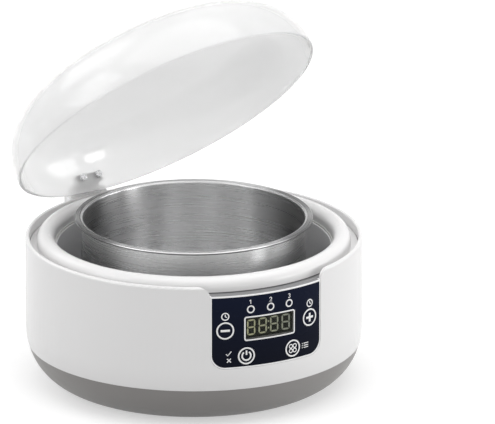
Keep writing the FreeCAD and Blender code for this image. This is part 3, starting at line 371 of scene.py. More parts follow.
BASE_SCREW_CIRCLE = 81.0 * MM
BASE_SCREW_SEAT = 20.5 * MM
DOWN = (0, 0, -1)
base_sites = []
for angle in (45, 135, 225, 315):
    turn = math.radians(angle)
    seat = (BASE_SCREW_CIRCLE * math.cos(turn), BASE_SCREW_CIRCLE * math.sin(turn), BASE_SCREW_SEAT)
    base_sites.append((seat, DOWN))
screws("base_screws_cross_head", "housing", "base_screws", base_sites, Head_Radius=3.2, Head_Height=2.2,
       Shank_Radius=1.3, Shank_Length=11.0, Slot_Width=0.9)
dress(bright_steel, "pan_screws", "hinge_screws", "board_screws", "clamp_screws", "power_board_screws",
      "hinge_pin")


# Power electronics
# A green circuit board on posts of the base, with relay, transformer, capacitor, terminals and
# plug headers soldered on, and the leads that run from it. All of it is hidden in use.

TRACK_HEIGHT = 0.04 * MM


def board_material():
    """Green solder mask with the raised copper tracks showing through."""
    material, tree, shader = principled("board_green")
    cells = tree.nodes.new("ShaderNodeTexBrick")
    for label, value in (("Scale", 90.0), ("Mortar Size", 0.16), ("Mortar Smooth", 0.3),
                         ("Brick Width", 0.9), ("Row Height", 0.3)):
        cells.inputs[label].default_value = value
    tree.links.new(object_place(tree), cells.inputs["Vector"])
    tracks = cells.outputs["Fac"]
    tree.links.new(blend_colours(tree, tracks, (0.010, 0.075, 0.030), (0.020, 0.125, 0.048)),
                   shader.inputs["Base Color"])
    tree.links.new(spread(tree, tracks, 0.42, 0.28, 0, 1), shader.inputs["Roughness"])
    bumped(tree, shader, tracks, 0.3, TRACK_HEIGHT)
    return material


board_green = board_material()
component_black = moulded("component_black", (0.016, 0.016, 0.018), (0.030, 0.030, 0.032), (0.38, 0.55))
transformer_tape = moulded("transformer_tape", (0.46, 0.30, 0.05), (0.56, 0.38, 0.08), (0.25, 0.40),
                           flow=140.0)
lead_insulation = moulded("lead_insulation", (0.52, 0.50, 0.46), (0.62, 0.60, 0.56), (0.40, 0.55), flow=90.0)
cable_grey = moulded("cable_grey", (0.20, 0.20, 0.21), (0.26, 0.26, 0.27), (0.40, 0.55), flow=90.0)
dress(board_green, "power_board", "control_board")
dress(component_black, "relay", "filter_capacitor", "key_switches")
dress(transformer_tape, "transformer")
dress(lead_insulation, "heater_leads", "inlet_leads", "board_headers", "terminal_block")
dress(cable_grey, "sensor_lead", "panel_cable")


# Outer wall
# The white round wall, an ABS moulding with a satin gloss, open at the front for the panel.
# It stands on the base's lap, and its notch has softly rounded edges.

SAME_POINT = 0.001 * MM
FLAT_ENOUGH = math.radians(0.2)
SHARP_EDGE = math.radians(40)
SHARP_SHADE = math.radians(35)
SAME_WAY = 0.9


def soft_edges(name, node, body, material, width, segments=3, pick=None, exact=None):
    """A copy of a node's mesh with its sharp edges rounded off, in place of the node.

    pick chooses the edges, and exact gives the known normal of a point, or None.
    """
    mesh = nodes[node].data.copy()
    mesh.name = name
    if "custom_normal" in mesh.attributes:
        mesh.attributes.remove(mesh.attributes["custom_normal"])
    work = bmesh.new()
    work.from_mesh(mesh)
    bmesh.ops.remove_doubles(work, verts=work.verts, dist=SAME_POINT)
    bmesh.ops.dissolve_limit(work, angle_limit=FLAT_ENOUGH, verts=work.verts, edges=work.edges)
    weight = work.edges.layers.float.new("bevel_weight_edge")
    for edge in work.edges:
        if edge.calc_face_angle(0.0) > SHARP_EDGE and (pick is None or pick(edge)):
            edge[weight] = 1.0
    for face in work.faces:
        face.smooth = True
    work.to_mesh(mesh)
    work.free()
    mesh.set_sharp_from_angle(angle=SHARP_SHADE)
    mesh.materials.clear()
    mesh.materials.append(material)
    obj = bpy.data.objects.new(name, mesh)
    bpy.context.scene.collection.objects.link(obj)
    bevel = obj.modifiers.new("Soft edges", "BEVEL")
    bevel.width = width
    bevel.segments = segments
    bevel.limit_method = "WEIGHT"
    made = plain_mesh(obj, bevel)
    if exact is not None:
        normals = [corner.vector.copy() for corner in made.corner_normals]
        for face in made.polygons:
            for corner in face.loop_indices:
                known = exact(made.vertices[made.loops[corner].vertex_index].co)
                if known is not None and known.dot(face.normal) > SAME_WAY:
                    normals[corner] = known
        made.normals_split_custom_set(normals)
    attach(obj, body)
    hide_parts(node)


WALL_OUT = 108.0 * MM
WALL_IN = 105.4 * MM
TUCK_TOP = 39.5 * MM
TUCK = 1.2 * MM
LIP_ROUND = 1.7 * MM
LIP_TOP = 96.0 * MM
SPLIT = 26.5 * MM
FOOT_SWEEP = ((TUCK_TOP - SPLIT) ** 2 + TUCK ** 2) / (2 * TUCK)
NOTCH_HALF = 50.0 * MM
NOTCH_LOW = SPLIT + 1.0 * MM
ON_ROUND = 0.02 * MM
ON_SIDE = 0.07 * MM


def notch_edge(edge):
    """Whether an edge runs along the front notch on the wall's outer side."""
    return all(v.co.y < 0 and abs(v.co.x) < NOTCH_HALF and v.co.z > NOTCH_LOW
               and math.hypot(v.co.x, v.co.y) > WALL_OUT - LIP_ROUND for v in edge.verts)


def wall_normal(point):
    """The exact normal of the wall's outer side, foot, lip or inner side at a point on it."""
    radius = math.hypot(point.x, point.y)
    around = Vector((point.x / radius, point.y / radius, 0))
    lip_start = LIP_TOP - LIP_ROUND
    for centre, height, size, low, high in (
            (WALL_OUT - FOOT_SWEEP, TUCK_TOP, FOOT_SWEEP, 0, TUCK_TOP),
            (WALL_OUT - LIP_ROUND, lip_start, LIP_ROUND, lip_start, math.inf)):
        out, up = radius - centre, point.z - height
        if low <= point.z <= high and abs(math.hypot(out, up) - size) < ON_ROUND:
            return (around * out + Vector((0, 0, up))).normalized()
    if abs(radius - WALL_OUT) < ON_SIDE:
        return around
    return -around if abs(radius - WALL_IN) < ON_SIDE else None


white_gloss = moulded("white_gloss", (0.788, 0.783, 0.783), (0.796, 0.791, 0.791), (0.25, 0.27),
                      flow=8.0, bump=0.05)
soft_edges("outer_wall", "outer_shell", "housing", white_gloss, 0.8 * MM, 4,
           notch_edge, wall_normal)


# Cord inlet
# A black socket for a detachable cord at the back, clipped into the wall, with two nickel
# plated contact pins inside.

inlet_black = moulded("inlet_black", (0.014, 0.014, 0.015), (0.024, 0.024, 0.025), (0.34, 0.48))
soft_edges("cord_inlet_socket", "cord_inlet", "housing", inlet_black, 0.3 * MM)
pin_nickel = metal("pin_nickel", (0.58, 0.56, 0.50), (0.70, 0.68, 0.62), (0.15, 0.28))
dress(pin_nickel, "inlet_pins")


# Heating under the well
# Two ceramic heaters pressed by a spring strip against a metal spreader under the well, with a
# brass sensor through the middle and a thermal fuse beside them.

heater_ceramic = moulded("heater_ceramic", (0.66, 0.63, 0.57), (0.76, 0.73, 0.67), (0.55, 0.72), flow=60.0)
sensor_brass = metal("sensor_brass", (0.55, 0.40, 0.16), (0.68, 0.51, 0.23), (0.22, 0.36))
spreader_metal = metal("spreader_metal", (0.46, 0.46, 0.47), (0.58, 0.58, 0.59), (0.34, 0.48), 300.0)
dress(heater_ceramic, "heater_left", "heater_right")
dress(sensor_brass, "temperature_sensor", "thermal_fuse")
dress(spreader_metal, "heater_plate", "heater_clamp")


# Heating well
# The drawn aluminium pan that the bowl stands in, anodised matt over fine turning lines.
# Its flange is screwed under the deck, with a silicone ring between them.

# Painted reflection: each wave of painted light and shade, how often it comes in a turn, where its peak is
# in degrees, and its share.
REFLECTION_SECTORS = ((2.0, -114.0, 0.28), (6.0, -84.0, 0.20))
DRIFT = 1.5 * MM


def apart(tree, place):
    """The three parts of a vector."""
    node = tree.nodes.new("ShaderNodeSeparateXYZ")
    tree.links.new(place, node.inputs[0])
    return node.outputs


def from_axis(tree, parts):
    """How far a point, given by its three parts, is from the upright axis."""
    squares = [maths(tree, "MULTIPLY", parts[axis], parts[axis]) for axis in ("X", "Y")]
    return maths(tree, "SQRT", maths(tree, "ADD", *squares))


def spun_lines_and_painted_sheen_group():
    """Fine lines round the upright axis, and lighter and darker sectors of painted reflection."""
    tree, start, end = shader_group("spun_lines_and_painted_sheen", [("Line Density", 900.0), ("Streak Density", 60.0)],
                                    ["Lines", "Streaks", "Sectors"])
    parts = apart(tree, object_place(tree))
    bearing = maths(tree, "ARCTAN2", parts["Y"], parts["X"])
    drift = maths(tree, "MULTIPLY", maths(tree, "COSINE", bearing), DRIFT)
    along = vector(tree, from_axis(tree, parts), drift, parts["Z"])
    tree.links.new(noise(tree, along, start.outputs["Line Density"], 3.0), end.inputs["Lines"])
    tree.links.new(noise(tree, along, start.outputs["Streak Density"], 4.0), end.inputs["Streaks"])
    # The sectors are painted reflection: fans of light and shade fixed on the piece.
    sectors = 0.5
    for times, peak, share in REFLECTION_SECTORS:
        wave = maths(tree, "MULTIPLY_ADD", bearing, times, -times * math.radians(peak))
        sectors = maths(tree, "MULTIPLY_ADD", maths(tree, "COSINE", wave), share, sectors)
    tree.links.new(sectors, end.inputs["Sectors"])
    return tree


spun_lines_and_painted_sheen = spun_lines_and_painted_sheen_group()


def multiplied(tree, colour, value):
    """A colour times a value."""
    mix = tree.nodes.new("ShaderNodeMix")
    mix.data_type = "RGBA"
    mix.blend_type = "MULTIPLY"
    mix.inputs["Factor"].default_value = 1.0
    tree.links.new(colour, mix.inputs["A"])
    tree.links.new(value, mix.inputs["B"])
    return mix.outputs["Result"]


def spun_metal(name, low, high, gloss, lines=900.0, streaks=60.0, bump=0.10, bare=1.0, dark=1.0, tone=None):
    """A round metal piece with turning lines and sectors of painted reflection, two near colours and two
    roughnesses.

    dark is the tone of the darkest painted reflection sector, and tone makes a further painted tone from the
    sectors.
    """
    material, tree, shader = principled(name)
    shader.inputs["Metallic"].default_value = bare
    # The highlights stretch across the turning lines.
    shader.inputs["Anisotropic"].default_value = 0.9
    shader.inputs["Anisotropic Rotation"].default_value = 0.25
    group = tree.nodes.new("ShaderNodeGroup")
    group.node_tree = spun_lines_and_painted_sheen
    group.inputs["Line Density"].default_value = lines
    group.inputs["Streak Density"].default_value = streaks
    sectors = group.outputs["Sectors"]
    colour = blend_colours(tree, spread(tree, group.outputs["Streaks"], 0, 1), low, high)
    # Painted reflection: the sectors darken the colour.
    colour = multiplied(tree, colour, spread(tree, sectors, dark, 1, 0, 1))
    if tone is not None:
        colour = multiplied(tree, colour, tone(tree, sectors))
    tree.links.new(colour, shader.inputs["Base Color"])
    tree.links.new(spread(tree, group.outputs["Lines"], *gloss), shader.inputs["Roughness"])
    bumped(tree, shader, group.outputs["Lines"], bump, MARK_DEPTH)
    return material


well_aluminium = spun_metal("well_aluminium", (0.74, 0.74, 0.745), (0.80, 0.80, 0.805), (0.38, 0.48),
                            bare=0.4)
dress(well_aluminium, "well_pan")
silicone = moulded("silicone", (0.60, 0.60, 0.58), (0.68, 0.68, 0.66), (0.45, 0.60))
dress(silicone, "pan_gasket")


# Deck ring
# The white rounded ring around the well's mouth, moulded with the groove that the lid's edge
# drops into. It lies on a ledge inside the wall.

dress(white_gloss, "deck_ring")


# Hinge bracket
# A white moulded block screwed to the back of the wall from inside. Its two ears hold the steel
# pin that the lid's arm turns on.

soft_edges("hinge_block", "hinge_bracket", "housing", white_gloss, 0.6 * MM)


# Panel frame and overlay
# A white frame clipped behind the wall's notch carries the dark navy front, a glossy printed
# polycarbonate sheet. Frame, sheet and keys follow the wall's curve.

frame_white = moulded("frame_white", (0.90, 0.90, 0.90), (0.92, 0.92, 0.92), (0.18, 0.22), bump=0.05)
soft_edges("panel_border", "panel_frame", "housing", frame_white, 0.15 * MM, 2)


PANEL_SHADE = (45.0 * MM, 90.0 * MM)


def navy_front(name):
    """Glossy dark navy with painted light, a little lighter towards the top, and faint wipe marks."""
    material, tree, shader = principled(name)
    shader.inputs["Specular IOR Level"].default_value = 0.05
    place = object_place(tree)
    # Painted light: the navy turns lighter towards the top.
    height = spread(tree, apart(tree, place)["Z"], 0, 1, *PANEL_SHADE)
    tree.links.new(blend_colours(tree, height, (0.0042, 0.0055, 0.0125), (0.0052, 0.0085, 0.0240)),
                   shader.inputs["Base Color"])
    tree.links.new(spread(tree, noise(tree, place, 60.0, 4.0), 0.20, 0.30), shader.inputs["Roughness"])
    return material


panel_navy = navy_front("panel_navy")
dress(panel_navy, "panel_overlay", "key_minus", "key_plus", "key_power", "key_function")


# Lid seat shade
# A thin grey strip where the wall is cut away for the panel, painted shade where that part lies in shade: in
# the groove, over the frame's top, and with a dark upturned lip against the deck as a painted shadow line.
# The lid's edge stops just above.

SEAT_PATH = 100.0


def swept_tree():
    """A closed profile carried along an arc round the upright axis, with closed ends."""
    tree, start, end = geometry_tree("swept_strip", [
        ("Segments", 64), ("Path Radius", SEAT_PATH * MM), ("Start Angle", 0.0), ("Sweep Angle", 1.0)])
    link = tree.links.new
    profile = chain(tree, start.outputs["Geometry"], "GeometryNodeMeshToCurve")[-1]
    arc = tree.nodes.new("GeometryNodeCurveArc")
    for label, size in (("Resolution", "Segments"), ("Radius", "Path Radius"),
                        ("Start Angle", "Start Angle"), ("Sweep Angle", "Sweep Angle")):
        link(start.outputs[size], arc.inputs[label])
    skin = tree.nodes.new("GeometryNodeCurveToMesh")
    skin.inputs["Fill Caps"].default_value = True
    link(arc.outputs[0], skin.inputs["Curve"])
    link(profile.outputs[0], skin.inputs["Profile Curve"])
    return end_tree(tree, start, end, skin.outputs[0])


swept_strip = swept_tree()


def cleaned(obj, place=None):
    """Merges a piece's doubled points, puts it in its place and turns its faces outwards."""
    work = bmesh.new()
    work.from_mesh(obj.data)
    bmesh.ops.remove_doubles(work, verts=work.verts, dist=2 * SAME_POINT)
    if place is not None:
        bmesh.ops.transform(work, matrix=place, verts=work.verts)
    bmesh.ops.recalc_face_normals(work, faces=work.faces)
    work.to_mesh(obj.data)
    work.free()


def swept(name, radii, inner_z, outer_z, half_turn, material):
    """A strip of the housing to both sides of the front.

    It lies between two radii, with its lowest and highest height at each.
    """
    (inner, outer), (inner_low, inner_high), (outer_low, outer_high) = radii, inner_z, outer_z
    profile = [(inner, inner_low), (outer, outer_low), (outer, outer_high), (inner, inner_high)]
    mesh = bpy.data.meshes.new(name)
    mesh.from_pydata([((r - SEAT_PATH) * MM, -z * MM, 0.0) for r, z in profile],
                     [(0, 1), (1, 2), (2, 3), (3, 0)], [])
    obj = grown(name, mesh, swept_strip, material, Start_Angle=math.radians(-90 - half_turn),
                Sweep_Angle=math.radians(2 * half_turn))
    cleaned(obj)
    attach(obj, "housing")


GROOVE, GROOVE_TURN = (100.55, 105.0), 28
LEDGE, LEDGE_TURN = (105.1, 107.0), 21
UPTURN = (100.53, 100.8)
SEAT_Z = (89.62, 89.74)
LEDGE_EDGE_Z = (89.47, 89.57)
UPTURN_Z = (89.76, 90.25)
# Painted shade as grey strips in the groove and over the frame, and a painted shadow line as the dark lip.
seat_painted_shade = moulded("seat_painted_shade", (0.21, 0.21, 0.215), (0.24, 0.24, 0.245), (0.42, 0.52))
lip_painted_shadow = moulded("lip_painted_shadow", (0.140, 0.140, 0.143), (0.160, 0.160, 0.163), (0.50, 0.60))
swept("groove_painted_shade", GROOVE, SEAT_Z, SEAT_Z, GROOVE_TURN, seat_painted_shade)
swept("ledge_painted_shade", LEDGE, SEAT_Z, LEDGE_EDGE_Z, LEDGE_TURN, seat_painted_shade)
swept("lip_painted_shadow_line", UPTURN, UPTURN_Z, UPTURN_Z, GROOVE_TURN, lip_painted_shadow)


# Printed signs
# White ink on the panel and on the key caps: rings, plus, minus, power sign, four dots, plain
# numerals by the lamps and small pictograms, all screen printed lines.

PANEL_FACE = 107.5 * MM
INK = 0.07 * MM


def printed_line_tree():
    """A flat ink line along each drawn path, wrapped round the panel's upright cylinder."""
    tree, start, end = geometry_tree("printed_line", [("Panel Radius", PANEL_FACE), ("Ink Height", INK)])
    link, new = tree.links.new, tree.nodes.new
    upright = chain(tree, start.outputs["Geometry"], "GeometryNodeMeshToCurve",
                    "GeometryNodeSetCurveNormal")[-1]
    upright.mode = "Z_UP"
    stripe = new("GeometryNodeCurvePrimitiveQuadrilateral")
    stripe.inputs["Width"].default_value = 1.0 * MM
    link(start.outputs["Ink Height"], stripe.inputs["Height"])
    ink = new("GeometryNodeCurveToMesh")
    ink.inputs["Fill Caps"].default_value = True
    link(upright.outputs[0], ink.inputs["Curve"])
    link(stripe.outputs[0], ink.inputs["Profile Curve"])
    link(attribute(tree, "line_width"), ink.inputs["Scale"])
    across, up, out = apart(tree, new("GeometryNodeInputPosition").outputs[0])
    reach = maths(tree, "ADD", start.outputs["Panel Radius"], out)
    turn = maths(tree, "DIVIDE", across, start.outputs["Panel Radius"])
    sideways = maths(tree, "MULTIPLY", reach, maths(tree, "SINE", turn))
    forwards = maths(tree, "MULTIPLY", reach, maths(tree, "COSINE", turn))
    bent = new("GeometryNodeSetPosition")
    link(ink.outputs[0], bent.inputs["Geometry"])
    link(vector(tree, sideways, maths(tree, "MULTIPLY", forwards, -1.0), up), bent.inputs["Position"])
    return end_tree(tree, start, end, bent.outputs[0])


printed_line = printed_line_tree()
white_ink = moulded("white_ink", (0.86, 0.86, 0.86), (0.90, 0.90, 0.90), (0.40, 0.50), grain=5000.0)


def bend(x, z, radius, start, end, steps=12):
    """Points of an arc between two angles, in millimetres and degrees."""
    turns = [math.radians(start + (end - start) * i / steps) for i in range(steps + 1)]
    return [(x + radius * math.cos(t), z + radius * math.sin(t)) for t in turns]


def circle(x, z, radius, start=0.0, end=360.0, steps=64):
    """Points of a circle or of an arc of it; steps are those of the full circle."""
    return bend(x, z, radius, start, end, max(8, round(steps * abs(end - start) / 360)))


LINE_STEP = 1.5


def straight(x0, z0, x1, z1):
    """Points of a straight line in millimetres, close enough to bend round the panel."""
    count = max(1, math.ceil(math.hypot(x1 - x0, z1 - z0) / LINE_STEP))
    return [(x0 + (x1 - x0) * i / count, z0 + (z1 - z0) * i / count) for i in range(count + 1)]


def printed(name, body, lines):
    """White ink lines on a body, each a (line width, points) pair in millimetres."""
    points, edges, widths = [], [], []
    for width, path in lines:
        closed = math.dist(path[0], path[-1]) * MM < SAME_POINT
        if closed:
            path = path[:-1]
        first = len(points)
        points += [(x * MM, z * MM, 0.0) for x, z in path]
        widths += [width] * len(path)
        edges += [(first + i, first + i + 1) for i in range(len(path) - 1)]
        if closed:
            edges.append((len(points) - 1, first))
    mesh = bpy.data.meshes.new(name)
    mesh.from_pydata(points, edges, [])
    for spot, width in zip(mesh.attributes.new("line_width", "FLOAT", "POINT").data, widths):
        spot.value = width
    obj = grown(name, mesh, printed_line, white_ink)
    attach(obj, body)


TIME_KEY = (30.5, 66.5)
RING, RING_LINE = 5.3, 1.0
SIGN_LINE = 1.5
MINUS_ARM, PLUS_ARM = 3.0, 2.9
x, z = TIME_KEY
printed("key_minus_sign", "key_minus", [
    (RING_LINE, circle(-x, z, RING)),
    (SIGN_LINE, straight(-x - MINUS_ARM, z, -x + MINUS_ARM, z))])
printed("key_plus_sign", "key_plus", [
    (RING_LINE, circle(x, z, RING)),
    (SIGN_LINE, straight(x - PLUS_ARM, z, x + PLUS_ARM, z)),
    (SIGN_LINE, straight(x, z - PLUS_ARM, x, z - SIGN_LINE / 2)),
    (SIGN_LINE, straight(x, z + SIGN_LINE / 2, x, z + PLUS_ARM))])

LOWER_KEY = (16.6, 48.7)
LOWER_RING = RING - 0.1
POWER_ARC, POWER_LINE = 2.9, 1.05
POWER_BAR, POWER_BAR_LINE = (0.6, 3.6), 1.1
DOT, DOT_LINE, DOT_OFF = 1.25, 0.62, 1.5
x, z = LOWER_KEY
printed("key_power_sign", "key_power", [
    (RING_LINE, circle(-x, z, LOWER_RING)),
    (POWER_LINE, circle(-x, z, POWER_ARC, 125, 415)),
    (POWER_BAR_LINE, straight(-x, z + POWER_BAR[0], -x, z + POWER_BAR[1]))])
dots = [(DOT_LINE, circle(x + right, z + up, DOT, steps=32))
        for right in (-DOT_OFF, DOT_OFF) for up in (-DOT_OFF, DOT_OFF)]
printed("key_function_sign", "key_function", [(RING_LINE, circle(x, z, LOWER_RING))] + dots)

LAMP_Z = 79.5
LAMP_PITCH = 13.7
LAMP_RING, LAMP_LINE = 2.2, 0.9
signs = [(LAMP_LINE, circle(x, LAMP_Z, LAMP_RING, steps=48)) for x in (-LAMP_PITCH, 0, LAMP_PITCH)]

WINDOW_Z = 66.7
WINDOW_HALF = (17.65, 7.7)
WINDOW_CORNER = 1.2
WINDOW_LINE = 0.95
corner_x, corner_z = (half - WINDOW_CORNER for half in WINDOW_HALF)
outline = []
for side, level, turn in ((1, 1, 0), (-1, 1, 90), (-1, -1, 180), (1, -1, 270)):
    outline += circle(side * corner_x, WINDOW_Z + level * corner_z, WINDOW_CORNER, turn, turn + 90)
window_line = []
for here, there in zip(outline, outline[1:] + outline[:1]):
    window_line += straight(*here, *there)[:-1]
signs.append((WINDOW_LINE, window_line + window_line[:1]))

NUMBER_Z = 83.2
NUMBER_LINE = 0.5
x, z = LAMP_PITCH, NUMBER_Z
number_1 = [straight(-x, z, -x, z + 2.6), straight(-x, z + 2.6, -x - 0.8, z + 2.0)]
number_2 = [circle(0, z + 1.8, 0.8, 160, -40, 40) + [(-0.9, z), (1.0, z)]]
number_3 = [circle(x, z + 1.95, 0.65, 150, -90, 40) + circle(x, z + 0.7, 0.7, 80, -150, 40)]
signs += [(NUMBER_LINE, path) for path in number_1 + number_2 + number_3]

CLOCK_Z = 76.0
CLOCK, CLOCK_LINE = 2.3, 0.75
THIN_LINE = 0.65
for x in (-TIME_KEY[0], TIME_KEY[0]):
    signs += [(CLOCK_LINE, circle(x, CLOCK_Z, CLOCK, steps=48)),
              (THIN_LINE, straight(x, CLOCK_Z, x, CLOCK_Z + 1.45)),
              (THIN_LINE, straight(x, CLOCK_Z, x + 1.1, CLOCK_Z - 0.6))]
tick = [(-30.0, 50.9), (-28.9, 49.7), (-26.6, 52.4)]
cross = [straight(-29.4, 47.7, -26.9, 45.2), straight(-29.4, 45.2, -26.9, 47.7)]
signs += [(THIN_LINE, path) for path in [tick] + cross]
ROW_PITCH = 1.4
ROW_LINE, ROW_DOT_LINE = 0.55, 0.6
for row in (-ROW_PITCH, 0, ROW_PITCH):
    z = LOWER_KEY[1] + row
    signs += [(ROW_LINE, straight(25.4, z, 29.2, z)), (ROW_DOT_LINE, straight(24.0, z, 24.6, z))]
printed("panel_signs", "housing", signs)


# Programme lamps
# Three small lamps on the control board whose resin tips end flush in the panel. They are off,
# and as dark as the panel around them.

dress(navy_front("lamp_resin"), "indicator_led_left", "indicator_led_middle", "indicator_led_right")


# Display
# A four digit display on the control board behind a smoked window, with a painted glow on its segments.
# Every digit has seven bar segments; a colon stands in the middle.

def digit_tree():
    """Six-sided bar segments on points, turned by 'turn' and stretched by 'length'."""
    tree, start, end = geometry_tree("segment_bars", [("Bar Width", 1.0 * MM), ("Bar Height", 0.12 * MM)])
    link, new = tree.links.new, tree.nodes.new
    bar = new("GeometryNodeMeshCircle")
    bar.fill_type = "NGON"
    bar.inputs["Vertices"].default_value = 6
    link(maths(tree, "DIVIDE", start.outputs["Bar Width"], math.sqrt(3)), bar.inputs["Radius"])
    foot = chain(tree, bar.outputs["Mesh"], "GeometryNodeFlipFaces")[-1]
    solid = chain(tree, bar.outputs["Mesh"], "GeometryNodeExtrudeMesh")[-1]
    solid.inputs["Individual"].default_value = False
    link(start.outputs["Bar Height"], solid.inputs["Offset Scale"])
    whole = new("GeometryNodeJoinGeometry")
    link(foot.outputs["Mesh"], whole.inputs["Geometry"])
    link(solid.outputs["Mesh"], whole.inputs["Geometry"])
    weld = chain(tree, whole.outputs[0], "GeometryNodeMergeByDistance")[-1]
    weld.inputs["Distance"].default_value = SAME_POINT
    angle = chain(tree, attribute(tree, "turn", "FLOAT_VECTOR"), "FunctionNodeEulerToRotation")[-1]
    size = vector(tree, attribute(tree, "length"), 1.0, 1.0)
    return end_tree(tree, start, end, copies(tree, start, weld.outputs[0], angle.outputs[0], size))


DISPLAY_HALF = 15.0 * MM


def glow_painted_segment():
    """Pale yellow-green plastic with a painted glow, dimmer towards the right of the display."""
    material, tree, shader = principled("glow_painted_segment")
    shader.inputs["Roughness"].default_value = 0.4
    # Painted glow: the segments give light, though they are no lamp.
    shader.inputs["Emission Strength"].default_value = 1.1
    across = apart(tree, object_place(tree))["X"]
    glow = blend_colours(tree, spread(tree, across, 0, 1, -DISPLAY_HALF, DISPLAY_HALF),
                         (0.50, 0.50, 0.30), (0.34, 0.36, 0.30))
    tree.links.new(glow, shader.inputs["Emission Color"])
    tree.links.new(glow, shader.inputs["Base Color"])
    return material


DISPLAY_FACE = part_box("display_module")[0].y
DIGIT_PITCH = 8.2
DIGIT_HALF = (2.45, 4.75)
FLAT_BAR, UPRIGHT_BAR = 4.3, 4.1
COLON_HALF = 2.2
BAR_LIFT = 0.02 * MM
half_x, half_z = DIGIT_HALF
bars = []
for place in (-1.5, -0.5, 0.5, 1.5):
    x = place * DIGIT_PITCH
    bars += [(x, WINDOW_Z + up, 0.0, FLAT_BAR) for up in (-half_z, 0, half_z)]
    bars += [(x + right, WINDOW_Z + up, math.pi / 2, UPRIGHT_BAR)
             for right in (-half_x, half_x) for up in (-half_z / 2, half_z / 2)]
bars += [(0.0, WINDOW_Z + up, 0.0, 1.0) for up in (-COLON_HALF, COLON_HALF)]
mesh = bpy.data.meshes.new("display_digits")
mesh.from_pydata([(x * MM, DISPLAY_FACE - BAR_LIFT, z * MM) for x, z, turn, length in bars], [], [])
mesh.attributes.new("turn", "FLOAT_VECTOR", "POINT")
mesh.attributes.new("length", "FLOAT", "POINT")
for i, (x, z, turn, length) in enumerate(bars):
    mesh.attributes["turn"].data[i].vector = (math.pi / 2, -turn, 0)
    mesh.attributes["length"].data[i].value = length
digits = grown("display_digits", mesh, digit_tree(), glow_painted_segment())
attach(digits, "housing")
display_dark = moulded("display_dark", (0.010, 0.012, 0.006), (0.016, 0.018, 0.009), (0.35, 0.50))
dress(display_dark, "display_module")


def smoked_sheet():
    """Dark see-through sheet with an even gloss."""
    material, tree, shader = principled("smoked_window")
    shader.inputs["Alpha"].default_value = 0.35
    shader.inputs["Specular IOR Level"].default_value = 0.12
    haze = noise(tree, object_place(tree), 120.0, 3.0)
    tree.links.new(blend_colours(tree, haze, (0.010, 0.012, 0.008), (0.016, 0.018, 0.012)),
                   shader.inputs["Base Color"])
    tree.links.new(spread(tree, haze, 0.06, 0.12), shader.inputs["Roughness"])
    return material


dress(smoked_sheet(), "display_window")


# Steel bowl
# The loose bowl that holds the milk: drawn stainless steel with a satin spun surface and a
# narrow flat rim whose edge is folded under. It stands on the floor of the well.

PATH_RADIUS = 1.0


def turned_tree():
    """A closed round piece: a drawn profile carried round the upright axis."""
    tree, start, end = geometry_tree("turned_piece", [("Segments", 256), ("Path Radius", PATH_RADIUS * MM)])
    link = tree.links.new
    profile = chain(tree, start.outputs["Geometry"], "GeometryNodeMeshToCurve")[-1]
    ring = tree.nodes.new("GeometryNodeCurvePrimitiveCircle")
    link(start.outputs["Segments"], ring.inputs["Resolution"])
    link(start.outputs["Path Radius"], ring.inputs["Radius"])
    skin = tree.nodes.new("GeometryNodeCurveToMesh")
    link(ring.outputs[0], skin.inputs["Curve"])
    link(profile.outputs[0], skin.inputs["Profile Curve"])
    weld, smooth = chain(tree, skin.outputs[0], "GeometryNodeMergeByDistance", "GeometryNodeSetShadeSmooth")
    weld.inputs["Distance"].default_value = 2 * SAME_POINT
    return end_tree(tree, start, end, smooth.outputs[0])


turned_piece = turned_tree()


def turned(name, profile, material, place=None):
    """A round piece from a closed (radius, height) profile that starts and ends on the axis."""
    mesh = bpy.data.meshes.new(name)
    flat = [((r - PATH_RADIUS) * MM, -z * MM, 0.0) for r, z in profile]
    mesh.from_pydata(flat, [(i, i + 1) for i in range(len(flat) - 1)], [])
    obj = grown(name, mesh, turned_piece, material)
    cleaned(obj, place)
    return obj


BOWL = 71.9
SHEET = 0.8
FOOT_Z = 36.2
RIM_Z = 108.5
CORNER = 12.0
FLOOR_FLAT = 30.0
FLANGE = 4.3
HEM = 2 * SHEET
FILLET = 0.6
# Rings on the straight wall, so far below the rim, that keep the rim's soft shading off it.
WALL_STEPS = (24.0, 12.0)
inner = BOWL - SHEET
bowl_profile = [(0.0, FOOT_Z), (FLOOR_FLAT, FOOT_Z)]
bowl_profile += bend(BOWL - CORNER, FOOT_Z + CORNER, CORNER, -90, 0)
bowl_profile += [(BOWL, RIM_Z - step) for step in WALL_STEPS]
bowl_profile += bend(BOWL + FILLET, RIM_Z - HEM - FILLET, FILLET, 180, 90, 6)
bowl_profile += bend(BOWL + FLANGE - HEM / 2, RIM_Z - HEM / 2, HEM / 2, -90, 90)
bowl_profile += bend(BOWL + FILLET, RIM_Z - SHEET - FILLET, SHEET + FILLET, 90, 180)
bowl_profile += [(inner, RIM_Z - step) for step in reversed(WALL_STEPS)]
bowl_profile += bend(BOWL - CORNER, FOOT_Z + CORNER, CORNER - SHEET, 0, -90)
bowl_profile += [(FLOOR_FLAT, FOOT_Z + SHEET), (0.0, FOOT_Z + SHEET)]

# Painted shade on the rim: its flat darker by painted reflection from the sectors, its folded edge darkest
# as a painted shadow.
RIM_START = ((BOWL + 0.3) * MM, (BOWL + 0.9) * MM)
RIM_EDGE = ((RIM_Z - 0.9) * MM, (RIM_Z - 0.4) * MM)
EDGE_PAINTED_SHADOW = 0.22
TOP_PAINTED_REFLECTION = (0.28, 0.85)
TOP_SECTORS = (0.30, 0.60)


